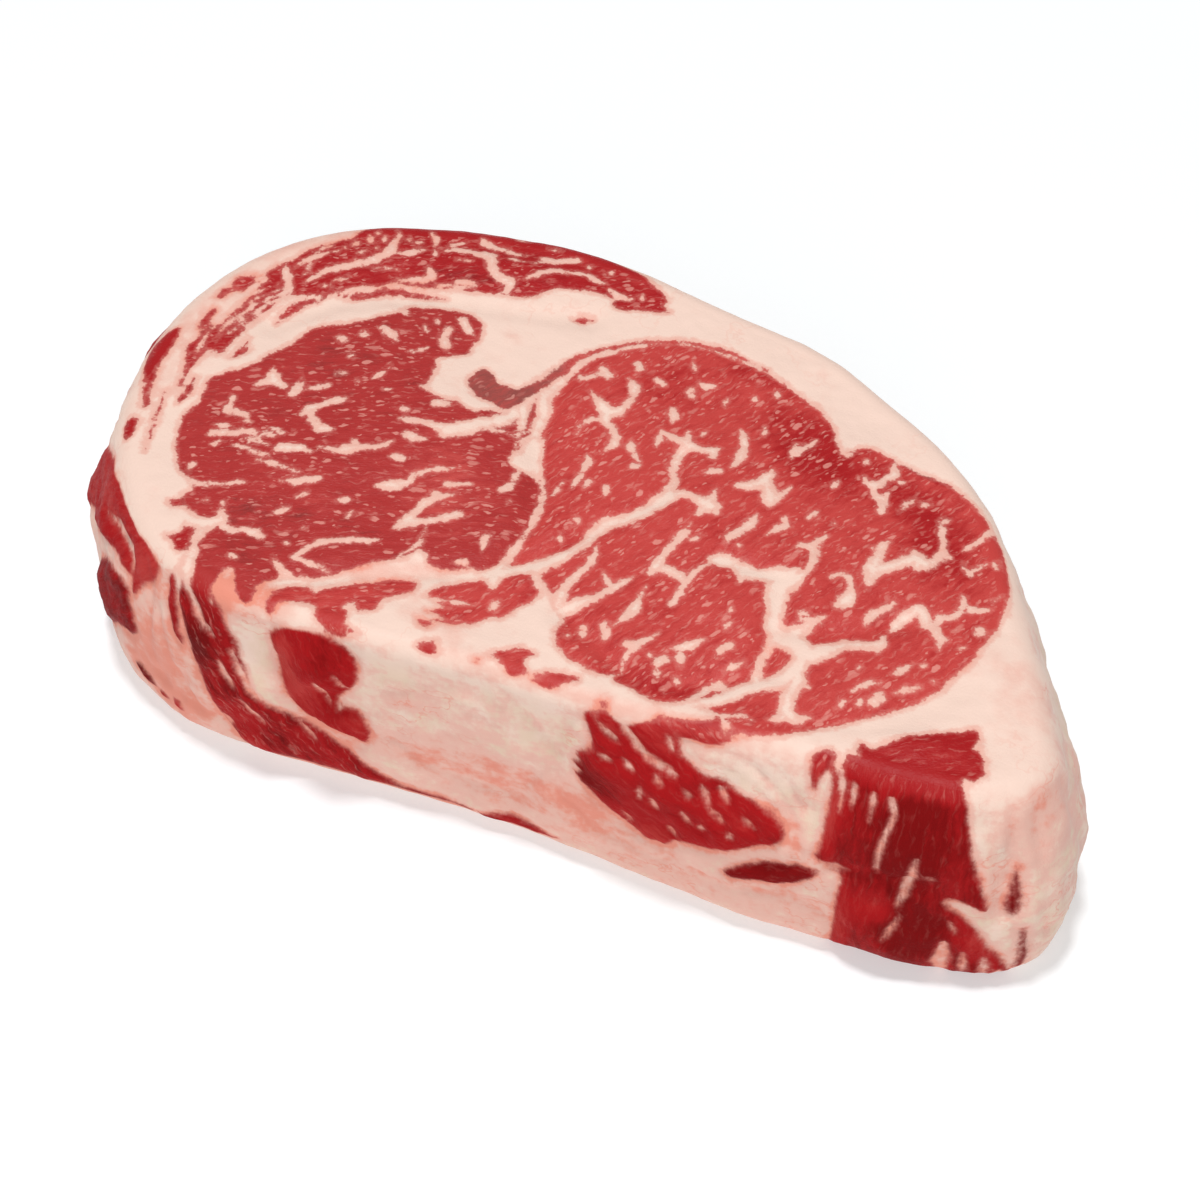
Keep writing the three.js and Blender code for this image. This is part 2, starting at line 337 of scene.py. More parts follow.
# Lean on the cut faces: tone, turn of the grain, wetness (below 0 where it is dry), outline.
FACE_LEAN = [
    (0.9, 62, 0.1, [(-18.8, 15), (-18.3, 20), (-17.3, 23.5), (-15.5, 27.5), (-12.5, 31.3),
        (-8, 35), (-3.5, 37.3), (2, 38.2), (8, 37.9), (14, 36.7), (20, 34.8), (26, 32.3),
        (29.5, 30), (32.5, 27), (34.3, 24), (35.6, 21.5), (36.7, 20.6), (38, 22.6), (40.3, 24.3),
        (44, 23.9), (49, 22.5), (55, 21.7), (60, 19.7), (64, 17), (67.7, 13.7), (71, 10),
        (73.2, 5.8), (74.6, 1.5), (75.3, -3.5), (75.4, -9), (74.2, -13.5), (73.2, -18.7),
        (71.2, -22.5), (70.3, -26), (67.3, -30.5), (63.8, -34), (60.3, -37), (56.8, -40),
        (52, -43.7), (46.5, -46.9), (41.5, -48.2), (39.3, -47), (37, -45.6), (33, -45),
        (30.5, -45.3), (27, -47), (24.5, -46.5), (21, -46), (18, -45.2), (17.3, -43.8),
        (14.5, -44.8), (11, -44.2), (7.2, -43), (5, -41.3), (4, -38.5), (4.4, -35.5), (2.8, -33.4),
        (0.2, -31), (-1.8, -29), (-4.5, -27), (-8, -26.5), (-9.8, -26), (-9.4, -20), (-9.3, -13),
        (-11, -7), (-13, -3), (-15, 1), (-16, 5), (-17.3, 5.2), (-17.5, 9), (-17.6, 12.5)]),
    (0.9, 60, 0.1, [(-9.6, -28.3), (-7, -27.8), (-4.9, -28), (-3.6, -30), (-2.2, -31.3),
        (-2.7, -33.5), (-4.5, -36), (-5.6, -38.5), (-8, -40), (-9.3, -41.7), (-12, -43.2),
        (-15, -44.2), (-17, -44), (-14.8, -43.2), (-17.5, -42.8), (-19, -42.6), (-17, -41),
        (-15.5, -40.3), (-18, -39.9), (-20, -39.3), (-20, -37.5), (-17.5, -35), (-14, -32.5),
        (-12.3, -32), (-10.3, -33.5), (-9.4, -31.5)]),
    (0.8, 24, 0.2, [(-23.3, -36.8), (-25.3, -36.9), (-28, -38), (-31.5, -40.2), (-35.5, -43),
        (-37.8, -44.8), (-38.8, -46.1), (-40.3, -45.4), (-42, -45.2), (-44, -46.5), (-45.6, -48),
        (-46, -51), (-45.5, -55), (-44.6, -57), (-43.7, -54.5), (-43.5, -51), (-42.4, -50.3),
        (-40, -49), (-37.4, -49.2), (-36.8, -51), (-34.4, -52.6), (-31, -54), (-27.6, -55.4),
        (-26.6, -53), (-28.4, -51.7), (-31.1, -50.8), (-31.2, -48.4), (-33, -47.3), (-31.3, -45.8),
        (-30.5, -47.2), (-29, -47.2), (-27, -45.3), (-27, -43.5), (-25, -41.5), (-23.5, -40),
        (-22.9, -38.3)]),
    (0.5, 22, -0.12, [(-43, 30.9), (-40.8, 30), (-38.8, 28.5), (-38, 26), (-38.3, 22.5),
        (-38.2, 20.6), (-39.5, 19.6), (-41.8, 17.8), (-43.2, 16.3), (-42.3, 14.8), (-42, 12),
        (-42, 9), (-42.8, 8), (-40.5, 7.2), (-38.5, 6.7), (-36, 6.5), (-35, 7.2), (-32.5, 6),
        (-30.5, 5.8), (-28, 7.5), (-26, 7.3), (-24, 8.3), (-22.8, 8.5), (-21.8, 6), (-20.8, 3),
        (-20.3, 0), (-19.8, -3.5), (-18.6, -4.5), (-17, -4.5), (-15, -4.3), (-13, -5.5),
        (-11.8, -8), (-10.7, -12), (-10.6, -18), (-11.3, -24), (-12.3, -27.5), (-14, -29.5),
        (-16.5, -30.2), (-19, -31.5), (-21, -32.3), (-23, -31.9), (-24.5, -30.2), (-26, -30),
        (-27.5, -31.8), (-29.5, -33.8), (-33, -36.3), (-36.5, -39.5), (-39.5, -41.8), (-43, -43),
        (-45.5, -44), (-47.3, -46), (-49, -48.5), (-48.6, -51), (-47.7, -54.5), (-50, -56),
        (-56, -58), (-62, -57), (-63.5, -52), (-64, -46), (-64, -41), (-63, -37.5), (-66, -37),
        (-69, -36), (-71, -34.5), (-71.2, -33), (-70, -31.5), (-71, -30.3), (-72.5, -28.8),
        (-74.5, -28), (-77, -24.8), (-79, -21), (-80.2, -17), (-80.7, -13.5), (-79.6, -10.5),
        (-80, -7.5), (-80.3, -4.5), (-79, -2.8), (-77, -0.8), (-74.8, 1.5), (-73.3, 4.5),
        (-72, 7.5), (-70.3, 10), (-69.5, 13), (-68, 15.8), (-65.5, 17.6), (-62, 19.5),
        (-59.5, 21.6), (-57.5, 24), (-55.5, 25.3), (-54.5, 28.2), (-51, 29.2), (-47, 30.5)]),
    (0.55, 30, 0.2, [(-7, 45.3), (-8.5, 46.5), (-8.3, 48.5), (-10, 50), (-13, 51.5), (-15, 53.3),
        (-19, 54.8), (-26, 57.8), (-33, 58.8), (-42, 58), (-50, 56.6), (-58, 54.3), (-65, 51.4),
        (-71, 47.6), (-72, 44), (-72.5, 42), (-75, 39.5), (-77, 37.8), (-79, 35), (-80.5, 32),
        (-82.5, 29), (-83.5, 26.5), (-82.7, 24.8), (-83.3, 22), (-84, 18), (-85, 13), (-86.2, 8),
        (-88, 4), (-88.3, 1), (-86.8, -1.5), (-85.8, -5), (-85.2, -8.5), (-84.6, -7.5), (-85, -3),
        (-84.5, 0), (-84.3, 2.5), (-82.3, 2), (-81.3, 3), (-81, 7), (-80, 12), (-79, 16),
        (-78.3, 20), (-77, 22.3), (-75, 22.8), (-72.5, 24.3), (-70, 25.5), (-68, 27.8), (-65, 30),
        (-62, 31.5), (-59, 33.6), (-56, 34.3), (-52, 35), (-47, 36.5), (-43, 36.8), (-38, 38),
        (-35, 38.5), (-32.5, 40), (-31, 42), (-28.5, 43.5), (-25, 44.5), (-21, 45.2),
        (-18.5, 44.8), (-17.8, 43.2), (-15.8, 42.8), (-13, 44), (-10, 44.6)]),
    (0.55, 30, 0.6, [(61.4, -42.6), (63.5, -43), (65.8, -41), (68, -39), (71, -36.8),
        (74.5, -34.9), (77, -33.3), (78.7, -32.4), (79.8, -34), (80, -36.5), (81.2, -37),
        (82.2, -39.5), (82.8, -42), (81.8, -43.7), (80.3, -43.6), (79.8, -44.6), (81, -46.5),
        (82.5, -50), (83, -56), (60, -56), (59.8, -51), (60, -47.5), (60.5, -45.8), (62, -45.6)]),
    (0.85, 40, 0.2, [(-19.5, -45), (-17.5, -44.7), (-16.3, -45.3), (-17.8, -46.5)]),
    (0.6, 40, 0.2, [(-66.8, -39.3), (-65.3, -40), (-64.8, -42.5), (-64.5, -44.5), (-65.5, -46.3),
        (-67.5, -45), (-69.4, -43.6), (-67.8, -42.7), (-67.4, -40.8)]),
    (0.6, 40, 0.2, [(-73, -35.8), (-71.8, -34.8), (-70, -35.2), (-70.5, -36.2), (-72, -36.5)]),
    (0.65, 40, 0.2, [(-86, 24.8), (-85, 25.3), (-84.8, 23), (-85.5, 20.3), (-87.3, 19.8),
        (-88.5, 21.5), (-88.2, 23.5)]),
    (0.6, 40, 0.2, [(-88.8, 20), (-87.8, 19), (-88.2, 17), (-89.5, 16.3), (-89.6, 18)]),
    (0.65, 40, 0.2, [(-89.3, 11), (-88.8, 13.5), (-88, 13), (-87.6, 8.5), (-88.6, 7)]),
    (0.5, 40, 0.2, [(57, -46), (58.7, -46.3), (58.5, -48), (57.8, -52), (56.5, -51.5), (55, -48.5),
        (55.5, -47)]),
    (0.75, 40, 0.2, [(-17.3, -50.3), (-16, -49.2), (-14.3, -49), (-13, -50.8), (-12.8, -52),
        (-15, -52.2), (-16.8, -51.3)]),
    (0.85, 40, 0.2, [(-4.6, -48), (-2.5, -46.3), (-0.5, -44.8), (1.5, -44.5), (2.8, -45),
        (1.8, -46.2), (2.3, -48), (3.3, -49.3), (2, -50.5), (0, -51), (-1.5, -49.5), (-3, -48.3)]),
    (0.85, 40, 0.2, [(4, -50), (6, -48.3), (9, -47), (11.5, -47), (11.8, -48), (9.5, -49.5),
        (8.5, -51), (6, -51.3)]),
    (0.75, 40, 0.2, [(27.5, -50), (30, -49.3), (33, -48.7), (35.5, -47.5), (37.3, -46.2),
        (38.5, -47.5), (38.8, -48.8), (41, -48.7), (41.5, -50), (38, -54), (33, -55), (28, -55)]),
    (0.5, 40, 0.2, [(-94.8, 3), (-93.5, 5.5), (-92, 6), (-91.2, 3.5), (-91, -1), (-90.7, -6),
        (-89.5, -10.5), (-88, -15), (-88.7, -15.5), (-91, -11), (-93, -8), (-96.5, -3)]),
    (0.5, 40, 0.2, [(-90, -19), (-88, -19), (-87, -22.5), (-88.3, -24.5), (-90, -22)]),
    (0.25, 60, -0.38, [(-35, 15), (-34, 17.2), (-32, 17.2), (-30.5, 15.6), (-28.3, 14.7),
        (-26, 15), (-24.3, 16.8), (-22.2, 20), (-20.5, 22), (-21.3, 18), (-23, 13.5), (-24.5, 10),
        (-26, 8.9), (-28, 9.2), (-31.2, 9.8), (-33.6, 11.2), (-35, 13.5)]),
]

# Thin lines of lean in the fat of the cut faces: points with their half width.
LEAN_LINES = [
    [(-22, 19, 0.6), (-20.5, 22.5, 0.7), (-18.5, 27, 0.5), (-15, 31.3, 0.5), (-11, 34.5, 0.4),
     (-6, 37.2, 0.4), (0, 39, 0.4), (8, 39, 0.4), (16, 36.9, 0.3)],
    [(-21.5, 14, 0.3), (-20.7, 10, 0.4), (-19.9, 5, 0.4), (-19.3, 0, 0.3)],
    [(-23.6, 37.2, 0.4), (-22, 37.8, 0.7), (-20.3, 38.5, 0.3)],
    [(-78.6, 8.5, 0.3), (-78, 5, 0.7), (-79.3, 2, 0.4)],
    [(-83.2, -5, 0.3), (-82.8, -8.5, 0.8), (-83.3, -12.5, 0.2)],
    [(-88.3, 13, 0.3), (-87, 6, 0.6), (-86.3, 0, 0.5), (-85.3, -6, 0.3), (-84.8, -10, 0.2)],
    [(-86.7, -10, 0.3), (-84.8, -19, 0.4), (-83, -26, 0.2)], [(-6.5, -50.5, 0.4), (-5.5, -50, 0.4)],
    [(17.3, -50.3, 0.4), (18.4, -50.2, 0.3)], [(43, -37, 0.4), (43.6, -37, 0.3)],
    [(-12, 47.6, 0.3), (-9, 47, 0.3)],
    [(-68.2, 26.3, 0.4), (-65.5, 27, 0.7), (-62.4, 28.6, 0.6), (-60.4, 30.6, 0.8),
     (-57.6, 31.6, 0.5), (-53, 32.4, 0.35), (-48.6, 33.4, 0.3)],
    [(-76, 15, 0.4), (-75.2, 18.5, 0.7), (-73.6, 21.5, 0.6), (-71.4, 23.8, 0.4), (-70.2, 25, 0.3)],
]

# Fat lines that run through the lean of the cut faces: points with their half width.
FACE_VEINS = [
    [(-12.8, 19.3, 0.3), (-10, 17, 0.9), (-7.8, 15.2, 1.2), (-5.9, 15.8, 0.9), (-5, 18.5, 0.5),
     (-4.7, 21, 0.5), (-5.6, 23.6, 0.9), (-7.5, 25, 0.4)],
    [(-7.5, 14.5, 1), (-7, 12.5, 0.6), (-5.4, 11.5, 0.6), (-3.8, 9.8, 0.6), (-3.4, 8, 0.7),
     (-4.3, 5.6, 0.4)],
    [(-8, 13, 0.4), (-9.8, 12.2, 0.4), (-11.1, 10.5, 0.35), (-11, 8, 0.35)],
    [(-7.3, 3.6, 0.3), (-6.2, 2, 0.6), (-6.2, -0.5, 0.4), (-6.3, -3.5, 0.4), (-6.6, -5.5, 0.3)],
    [(-13, 26, 0.5), (-11.5, 24.8, 0.8), (-10.5, 24.6, 0.3)],
    [(-13, 25.5, 0.3), (-14, 23, 0.4), (-15.5, 21.8, 0.4), (-16.8, 23.3, 0.3)],
    [(-7.2, 29.8, 0.5), (-6.3, 28.4, 0.7), (-6, 27.3, 0.2)],
    [(5.3, 29.2, 0.4), (6.8, 28.9, 0.6), (8.2, 29.3, 0.4)],
    [(4.9, 26.8, 0.5), (4.2, 26, 0.4), (5.2, 25.4, 0.5)], [(-2, 26.8, 0.5), (-0.9, 26.6, 0.5)],
    [(3.2, 20.3, 0.6), (4, 19, 0.8), (4.2, 17.2, 0.3)],
    [(3.9, 10, 0.3), (4, 12, 0.6), (3.8, 13.8, 0.5), (5.5, 13.5, 0.5), (8, 13.2, 0.8),
     (9.3, 12.6, 1), (12, 12.3, 0.6), (14, 12.6, 0.8), (15.3, 13.8, 0.4)],
    [(8.2, 15.8, 0.4), (8.9, 13.2, 0.9), (8.7, 10, 0.7), (8.9, 7, 0.7), (9.3, 5, 0.5),
     (10.3, 3.3, 0.6), (10.5, 0.5, 1), (10.8, -1.5, 1.6), (9.2, -4.5, 1.3), (7.5, -7.2, 1.2),
     (5, -9.5, 1.1), (3, -11, 1.2), (1.6, -13.5, 1.2), (1, -16.5, 0.9), (-0.4, -20, 0.9),
     (-3, -23.5, 1.3), (-5, -25.5, 1.5), (-8, -27, 1), (-10.5, -29.3, 1.2), (-11.3, -31.5, 0.9)],
    [(14.5, 12.3, 0.6), (14.8, 10.8, 0.5)],
    [(10.8, -0.8, 1.2), (13, -0.3, 0.7), (15, -0.4, 0.6), (17, -0.9, 1), (18.8, -1.5, 1.4),
     (20.2, -2.2, 0.7), (20.8, 0.2, 0.3)],
    [(18.3, -0.5, 1), (18.5, 2, 0.4), (18.4, 3.8, 0.2)], [(18, -2.5, 0.9), (17.8, -3.8, 0.5)],
    [(17, 20.3, 0.3), (18.2, 18.5, 0.5), (19, 16.5, 0.6), (19.4, 14, 0.8), (19.2, 11, 0.5),
     (18.9, 9, 0.2)],
    [(14.5, 6, 0.3), (16, 7.3, 0.5), (17.2, 8, 0.5)],
    [(21.8, 5.5, 0.6), (23.5, 6, 0.8), (25.5, 8, 1.1), (26.2, 10.5, 0.8), (26, 12.2, 0.2)],
    [(26, 8.5, 1.1), (27.3, 6.5, 1.1), (28.3, 4.2, 1.1), (28.6, 2.6, 0.4)],
    [(29, 4.3, 0.6), (30, 7, 0.5), (30.7, 9, 0.3)],
    [(20.7, 22.5, 0.3), (21.5, 20.8, 0.5), (22, 20, 0.2)], [(19.7, 32.3, 0.4), (20.2, 30.8, 0.4)],
    [(1.9, 34.3, 0.3), (3.2, 32.2, 0.4)],
    [(-0.6, 9.8, 0.3), (-0.4, 8.2, 0.7), (1.5, 6.4, 0.3), (3, 4.3, 0.3)],
    [(2.2, 3.3, 0.7), (3.2, 3.8, 0.4)],
    [(27.4, 0, 0.3), (27.2, -2.5, 0.7), (26, -5, 0.6), (24.7, -7.3, 0.7), (24.7, -9, 0.3)],
    [(11, 17.5, 0.3), (10.8, 16, 0.3)], [(11.8, 27, 0.3), (11.7, 25.5, 0.4)],
    [(16.3, 29.2, 0.4), (16.5, 28.4, 0.4)], [(27.5, 20, 0.4), (28.3, 18, 0.9), (28.1, 16.2, 0.3)],
    [(28.8, 18.6, 0.6), (30.2, 20.6, 0.3), (30.8, 22.6, 0.4)],
    [(45.8, 23, 0.3), (46.4, 21.3, 0.5), (47, 20, 0.7), (46, 18, 0.5), (45, 16, 0.7),
     (44.3, 15.5, 0.9), (43, 15.5, 0.4), (41.8, 17, 0.4)],
    [(44.5, 15.3, 0.6), (44.8, 14, 0.4), (45.8, 13, 0.7), (46.7, 13, 0.7), (47.3, 11.5, 0.7),
     (47.8, 9.7, 0.5)],
    [(47.2, 13.5, 0.4), (47.4, 15, 0.3)], [(36.3, 21.8, 0.4), (37.2, 20.8, 0.5), (38.5, 22.6, 0.4)],
    [(41.2, 21.5, 0.3), (41, 19.8, 0.3)], [(48.7, 18.5, 0.5)],
    [(52.2, 15.5, 0.4), (51.2, 13.5, 0.4), (50.7, 11, 0.3)], [(54.2, 14.8, 0.5), (55.5, 15.6, 0.3)],
    [(59, 12.5, 0.6), (58.4, 11.2, 0.4), (59.5, 9, 0.4), (60.5, 6.5, 0.4), (61.2, 4, 0.7),
     (60.3, 1.5, 0.6), (59, -0.2, 1), (57.5, 0.5, 1.4), (56.3, 2.4, 0.5)],
    [(61.3, 3.5, 0.5), (62.8, 3.8, 0.4)], [(58, -0.6, 1), (57.9, -2.3, 0.4)],
    [(57, 0.3, 1.2), (55, -1.5, 0.9), (53.5, -3.2, 0.9), (52, -4, 1.2), (51, -5, 1.4)],
    [(51.5, 3, 0.4), (50.6, 1.5, 0.7), (50.8, -1.5, 0.8), (50.8, -4.5, 1.3), (51.2, -7, 0.8),
     (51.4, -9.5, 0.3)],
    [(48.8, 0.3, 0.4), (50, 0.6, 0.4)], [(50.3, -4, 0.8), (49.2, -4.6, 0.4)],
    [(67.7, 13.2, 0.5), (66.8, 11.5, 0.3), (66, 9.5, 0.3), (65, 8, 0.3), (64.2, 6.5, 0.4)],
    [(65, 3.8, 0.2), (66, 2.2, 0.3), (67, 1.6, 0.4), (67.8, 3.3, 0.3), (69, 5, 0.2)],
    [(70.3, 6, 0.4), (71, 4.5, 0.4)], [(38, 13.5, 0.3), (37.8, 11.5, 0.4)],
    [(37.3, 5.5, 0.3), (36, 2.8, 0.4)], [(40.8, 3.3, 0.5)],
    [(32.4, 1, 0.5), (33, -0.5, 0.7), (31.8, -2, 0.5), (30.5, -4, 0.4)],
    [(41, 0.2, 0.2), (39.8, -1.5, 0.5), (39, -3.8, 0.8), (40.2, -5.2, 0.6), (40.5, -7.5, 0.5),
     (40.2, -9.8, 0.6), (39.3, -12, 1)],
    [(39, -3.8, 0.8), (37.3, -4.2, 0.5), (36, -5, 0.2)], [(73.5, -1.5, 0.3), (72.5, -3.5, 0.4)],
    [(17.1, -6.3, 0.2), (16.9, -9, 0.6), (15.9, -12, 0.5), (15.3, -15, 0.6), (14.9, -18, 0.9),
     (14.5, -19.8, 0.5)],
    [(15, -18.2, 0.7), (17.5, -18.3, 0.8), (19.5, -18.8, 0.7), (20.9, -20, 0.6), (21.2, -22, 0.5),
     (20.8, -25.3, 0.5)],
    [(21.2, -20, 0.5), (21.8, -17.5, 0.4), (22.8, -15.5, 0.3), (23.8, -13.5, 0.6)],
    [(20, -8.5, 0.3), (18.8, -10.3, 0.4)],
    [(24, -12.8, 0.9), (25.5, -12.4, 1.4), (28, -12.6, 1.1), (30, -13.5, 1.6), (32, -13.8, 1.2),
     (34.5, -12.8, 1.4), (36.5, -12.2, 1.7), (37.8, -13, 2)],
    [(30.1, -14.5, 1), (30.2, -16.8, 0.4)],
    [(38.6, -10, 0.6), (37.8, -12.5, 2), (37, -15, 1.8), (37.5, -18, 1.6), (38.3, -21, 1.3),
     (39, -23.6, 1.4), (41, -25.3, 1.9), (43, -25.7, 1.9), (45.5, -26.8, 1.8), (46, -29, 1.4),
     (46, -31, 1.6), (45.2, -33.5, 1.5), (43.8, -35.3, 1.6), (41, -36.8, 1.3), (39, -38.5, 1.3),
     (37, -41, 1.1), (34, -44, 1), (31, -46.3, 1), (27, -48.4, 1.2)],
    [(39.6, -25, 1), (39.9, -28, 0.6), (39.6, -31, 0.5), (39.8, -34, 0.6), (40.5, -36.5, 1)],
    [(45, -20, 0.6), (44, -22.5, 1.1), (42, -24.5, 1.4)], [(46.6, -18.3, 0.4), (45.6, -20, 0.6)],
    [(57.6, -18.5, 0.5), (57.7, -20.4, 0.8), (55, -21.6, 0.9), (52, -22.6, 1.2), (50, -24.8, 1.3),
     (48, -26.8, 1.6), (46, -28, 1.8)],
    [(57.6, -20.5, 0.6), (57.7, -23, 0.3)],
    [(46.3, -31, 1), (47, -34.3, 1.2), (46.8, -38, 1), (47.6, -41, 1.1), (49.5, -41.9, 0.9),
     (52, -40.3, 0.4)],
    [(47.3, -34.3, 0.6), (49.3, -34.6, 0.3)], [(45.6, -43.5, 0.4), (47.3, -42.3, 0.8)],
    [(38, -45.8, 0.5), (41, -44.3, 0.3), (43, -45, 0.3)],
    [(44.5, -9.5, 0.4), (46, -7.8, 0.5), (47.5, -8, 0.6), (48.5, -9.5, 0.5), (49.2, -11.5, 0.8),
     (49, -13.5, 1.1), (48, -15, 0.7)],
    [(56.8, -10.5, 0.4), (55.5, -12.5, 0.6), (54, -14.5, 0.6), (53.5, -16.8, 0.4)],
    [(58.2, -16.5, 0.4), (58.6, -14.5, 0.8), (59.5, -12.4, 0.9), (61, -10.3, 0.9),
     (61.9, -10.4, 0.9), (63.3, -12.3, 0.9), (64.8, -13.2, 0.8), (66, -14.5, 0.7),
     (67.2, -15.3, 0.8), (67.3, -17.8, 0.4)],
    [(64.9, -12.8, 0.5), (65.3, -10.7, 0.6), (67, -10, 0.5), (68, -8, 0.5), (68.2, -6, 0.5),
     (67.6, -4.8, 0.6)],
    [(68.3, -5.8, 0.4), (69.8, -6.8, 0.5), (71.5, -6, 0.4), (73, -5, 0.3)],
    [(43, -19, 0.5), (43.2, -20.2, 0.5)], [(72.9, -10.6, 0.6), (72.8, -11.4, 0.6)],
    [(70.5, -16, 0.3), (71.5, -15.3, 0.4)],
    [(64.2, -22.5, 0.4), (63, -24.5, 0.5), (61.8, -26, 0.4)], [(66, -21.8, 0.4), (65.5, -23, 0.3)],
    [(66.8, -26.8, 0.4), (65, -28.2, 0.5), (63.3, -30, 0.4)],
    [(60.5, -28.7, 0.4), (58.8, -29.3, 0.5), (57.3, -31, 0.4), (56.5, -32.8, 0.4)],
    [(61.2, -31.5, 0.7), (60.5, -33.2, 0.7)], [(58.6, -33.8, 0.4), (58.4, -34.8, 0.4)],
    [(56, -35, 0.4), (55.2, -37, 0.3)], [(55.8, -26.8, 0.5)], [(68.5, -24.6, 0.4)],
    [(3.3, -17, 0.2), (3.8, -20, 0.5), (3.2, -23, 0.6), (2.3, -25.5, 0.5), (1.8, -28, 0.7),
     (1.6, -30.5, 0.8), (1.8, -33, 1)],
    [(12, -21.5, 0.3), (10.8, -24, 0.5), (9, -26.2, 0.6), (8.2, -28.5, 0.6), (6.5, -30, 0.9),
     (5, -31.5, 1), (3, -33.5, 1.2)],
    [(6.6, -22.3, 0.3), (7.8, -24.2, 0.4), (9.2, -25.3, 0.5)],
    [(15.1, -23, 0.2), (14.7, -26, 0.3), (15, -29, 0.8), (14.2, -31.5, 0.6), (13.2, -34, 0.2)],
    [(20.9, -32, 0.3), (20.3, -34, 0.4), (19, -35.5, 0.5), (18, -37, 0.9), (16.6, -36.9, 0.5)],
    [(18, -37.8, 0.5), (17.4, -39.7, 0.3), (18, -43.5, 0.2)],
    [(28.7, -31, 0.4), (27.3, -33, 0.8), (25.5, -34.2, 0.5), (24, -35.2, 0.3)],
    [(33.5, -30.5, 0.5), (32.4, -32.5, 0.5)], [(11.6, -34.4, 0.6), (12.5, -36.2, 0.5)],
    [(8, -36, 0.6), (8.5, -37.5, 0.5)], [(6.6, -38.8, 0.6)], [(24, -37.3, 0.6), (23.3, -38.8, 0.7)],
    [(26.2, -35.8, 0.6), (27.2, -38, 0.4)], [(21.3, -37.8, 0.5)], [(27.6, -41, 0.6)],
    [(24.1, -41, 0.5)], [(37, -33, 0.4), (35.5, -34.5, 0.4), (34.6, -36, 0.3)],
    [(34.8, -38.8, 0.8), (33.3, -40, 0.6), (32.5, -42, 0.5), (31.5, -44.5, 0.5)],
    [(31.2, -22.5, 0.3), (31, -24, 0.3)], [(31.8, -26, 0.3), (31.3, -28, 0.3)],
    [(-3, -11.9, 0.4), (-2.3, -13, 0.4)], [(-4, -17, 0.3), (-3.2, -18.5, 0.4)], [(27, -8.5, 0.5)],
    [(-8.4, -4.5, 0.3), (-8.9, -7.8, 0.4)], [(-4.2, -3.2, 0.5), (-4.1, -4.8, 0.4)],
    [(-0.6, -3.5, 0.5), (-0.2, -5, 0.4)],
    [(-20, -39.8, 0.4), (-15, -38.6, 0.4), (-11.5, -37.9, 0.3)],
    [(-8, -35.5, 0.4), (-8.4, -37.5, 0.5)],
    [(-42.9, 28.7, 0.6), (-42, 27.5, 0.6), (-40.5, 26.3, 0.7), (-39.6, 25.6, 0.4)],
    [(-44.2, 25.5, 0.5), (-44.5, 23, 0.6), (-43.3, 21, 0.8), (-42.6, 19.6, 0.4)],
    [(-47.4, 27, 0.3), (-46.9, 25.8, 0.4)], [(-49, 24.3, 0.4), (-48, 23, 0.4)],
    [(-54.3, 26.6, 0.5), (-53, 26, 0.3)],
    [(-57, 20.2, 0.4), (-55, 20, 0.8), (-53.5, 19, 0.8), (-52, 18, 0.4)],
    [(-58.8, 17.5, 0.5), (-58, 17.3, 0.5)],
    [(-48.5, 16.2, 0.4), (-46.8, 17.5, 0.4), (-45.8, 18.8, 0.3)],
    [(-62.7, 14.8, 0.5), (-61.5, 14.5, 0.6), (-61.8, 13, 0.3)], [(-58.2, 10.8, 0.6)],
    [(-50.4, 11.7, 0.4), (-50.2, 10.2, 0.4)], [(-51.8, 6.7, 0.4), (-50.5, 9, 0.4)],
    [(-58.5, 5.6, 0.5), (-57.5, 6.1, 0.5)], [(-54.2, 5, 0.4)],
    [(-48.5, 4.6, 0.3), (-47.5, 5.2, 0.3)],
    [(-70.3, 2.8, 0.4), (-69.7, 0.8, 0.9), (-69, -0.5, 1.1), (-67, -1.2, 0.7), (-66.2, -1.6, 0.3)],
    [(-69.8, -1, 0.8), (-71.5, -2.8, 0.4)],
    [(-64, 1.8, 0.4), (-63.8, -0.5, 0.9), (-64, -2.5, 0.8), (-63.5, -3.6, 0.3)],
    [(-61.5, 0, 0.4), (-60, 1, 0.6), (-59, 1.9, 0.5)],
    [(-54.2, -0.3, 0.5), (-56, -1.5, 0.7), (-57.8, -3.5, 0.6), (-59, -5, 0.9), (-59.8, -7, 0.5)],
    [(-58.8, -6, 0.7), (-57, -8, 0.6), (-55, -9.2, 0.9), (-53, -8.8, 0.5)],
    [(-37.5, 5, 1), (-36, 5.2, 0.5)], [(-43, 0.8, 0.5), (-42.2, 0.9, 0.5)],
    [(-41.8, -1.7, 0.5), (-40, -1.4, 0.7), (-38, -1, 0.5), (-36, -1, 0.6)],
    [(-39.5, -5, 0.5), (-38, -5.3, 0.9), (-36.5, -5, 0.5)],
    [(-35.5, -1, 0.7), (-33, -1.2, 1.5), (-30, 1, 1.5), (-27.5, 3.5, 1.3), (-25, 6, 1.3),
     (-23.5, 8.5, 1)],
    [(-26.3, 2.6, 0.5), (-23.5, 3.2, 0.3), (-21.5, 3, 0.3)],
    [(-74, -7.5, 0.5), (-73.6, -9.8, 0.5), (-73.5, -11, 0.6), (-71.5, -10.8, 0.5),
     (-69.5, -11.2, 0.5)],
    [(-73.5, -17, 0.7), (-71.5, -16.3, 0.6), (-69, -16, 0.5), (-68, -15, 0.3)],
    [(-72.8, -19.8, 0.3), (-71.5, -19, 0.4), (-70.3, -18.4, 0.2)],
    [(-64.8, -14, 0.4), (-62, -14.3, 0.4)], [(-64.8, -16, 0.4)],
    [(-67.5, -18.8, 0.4), (-65.5, -19, 0.4), (-62, -19, 0.3)],
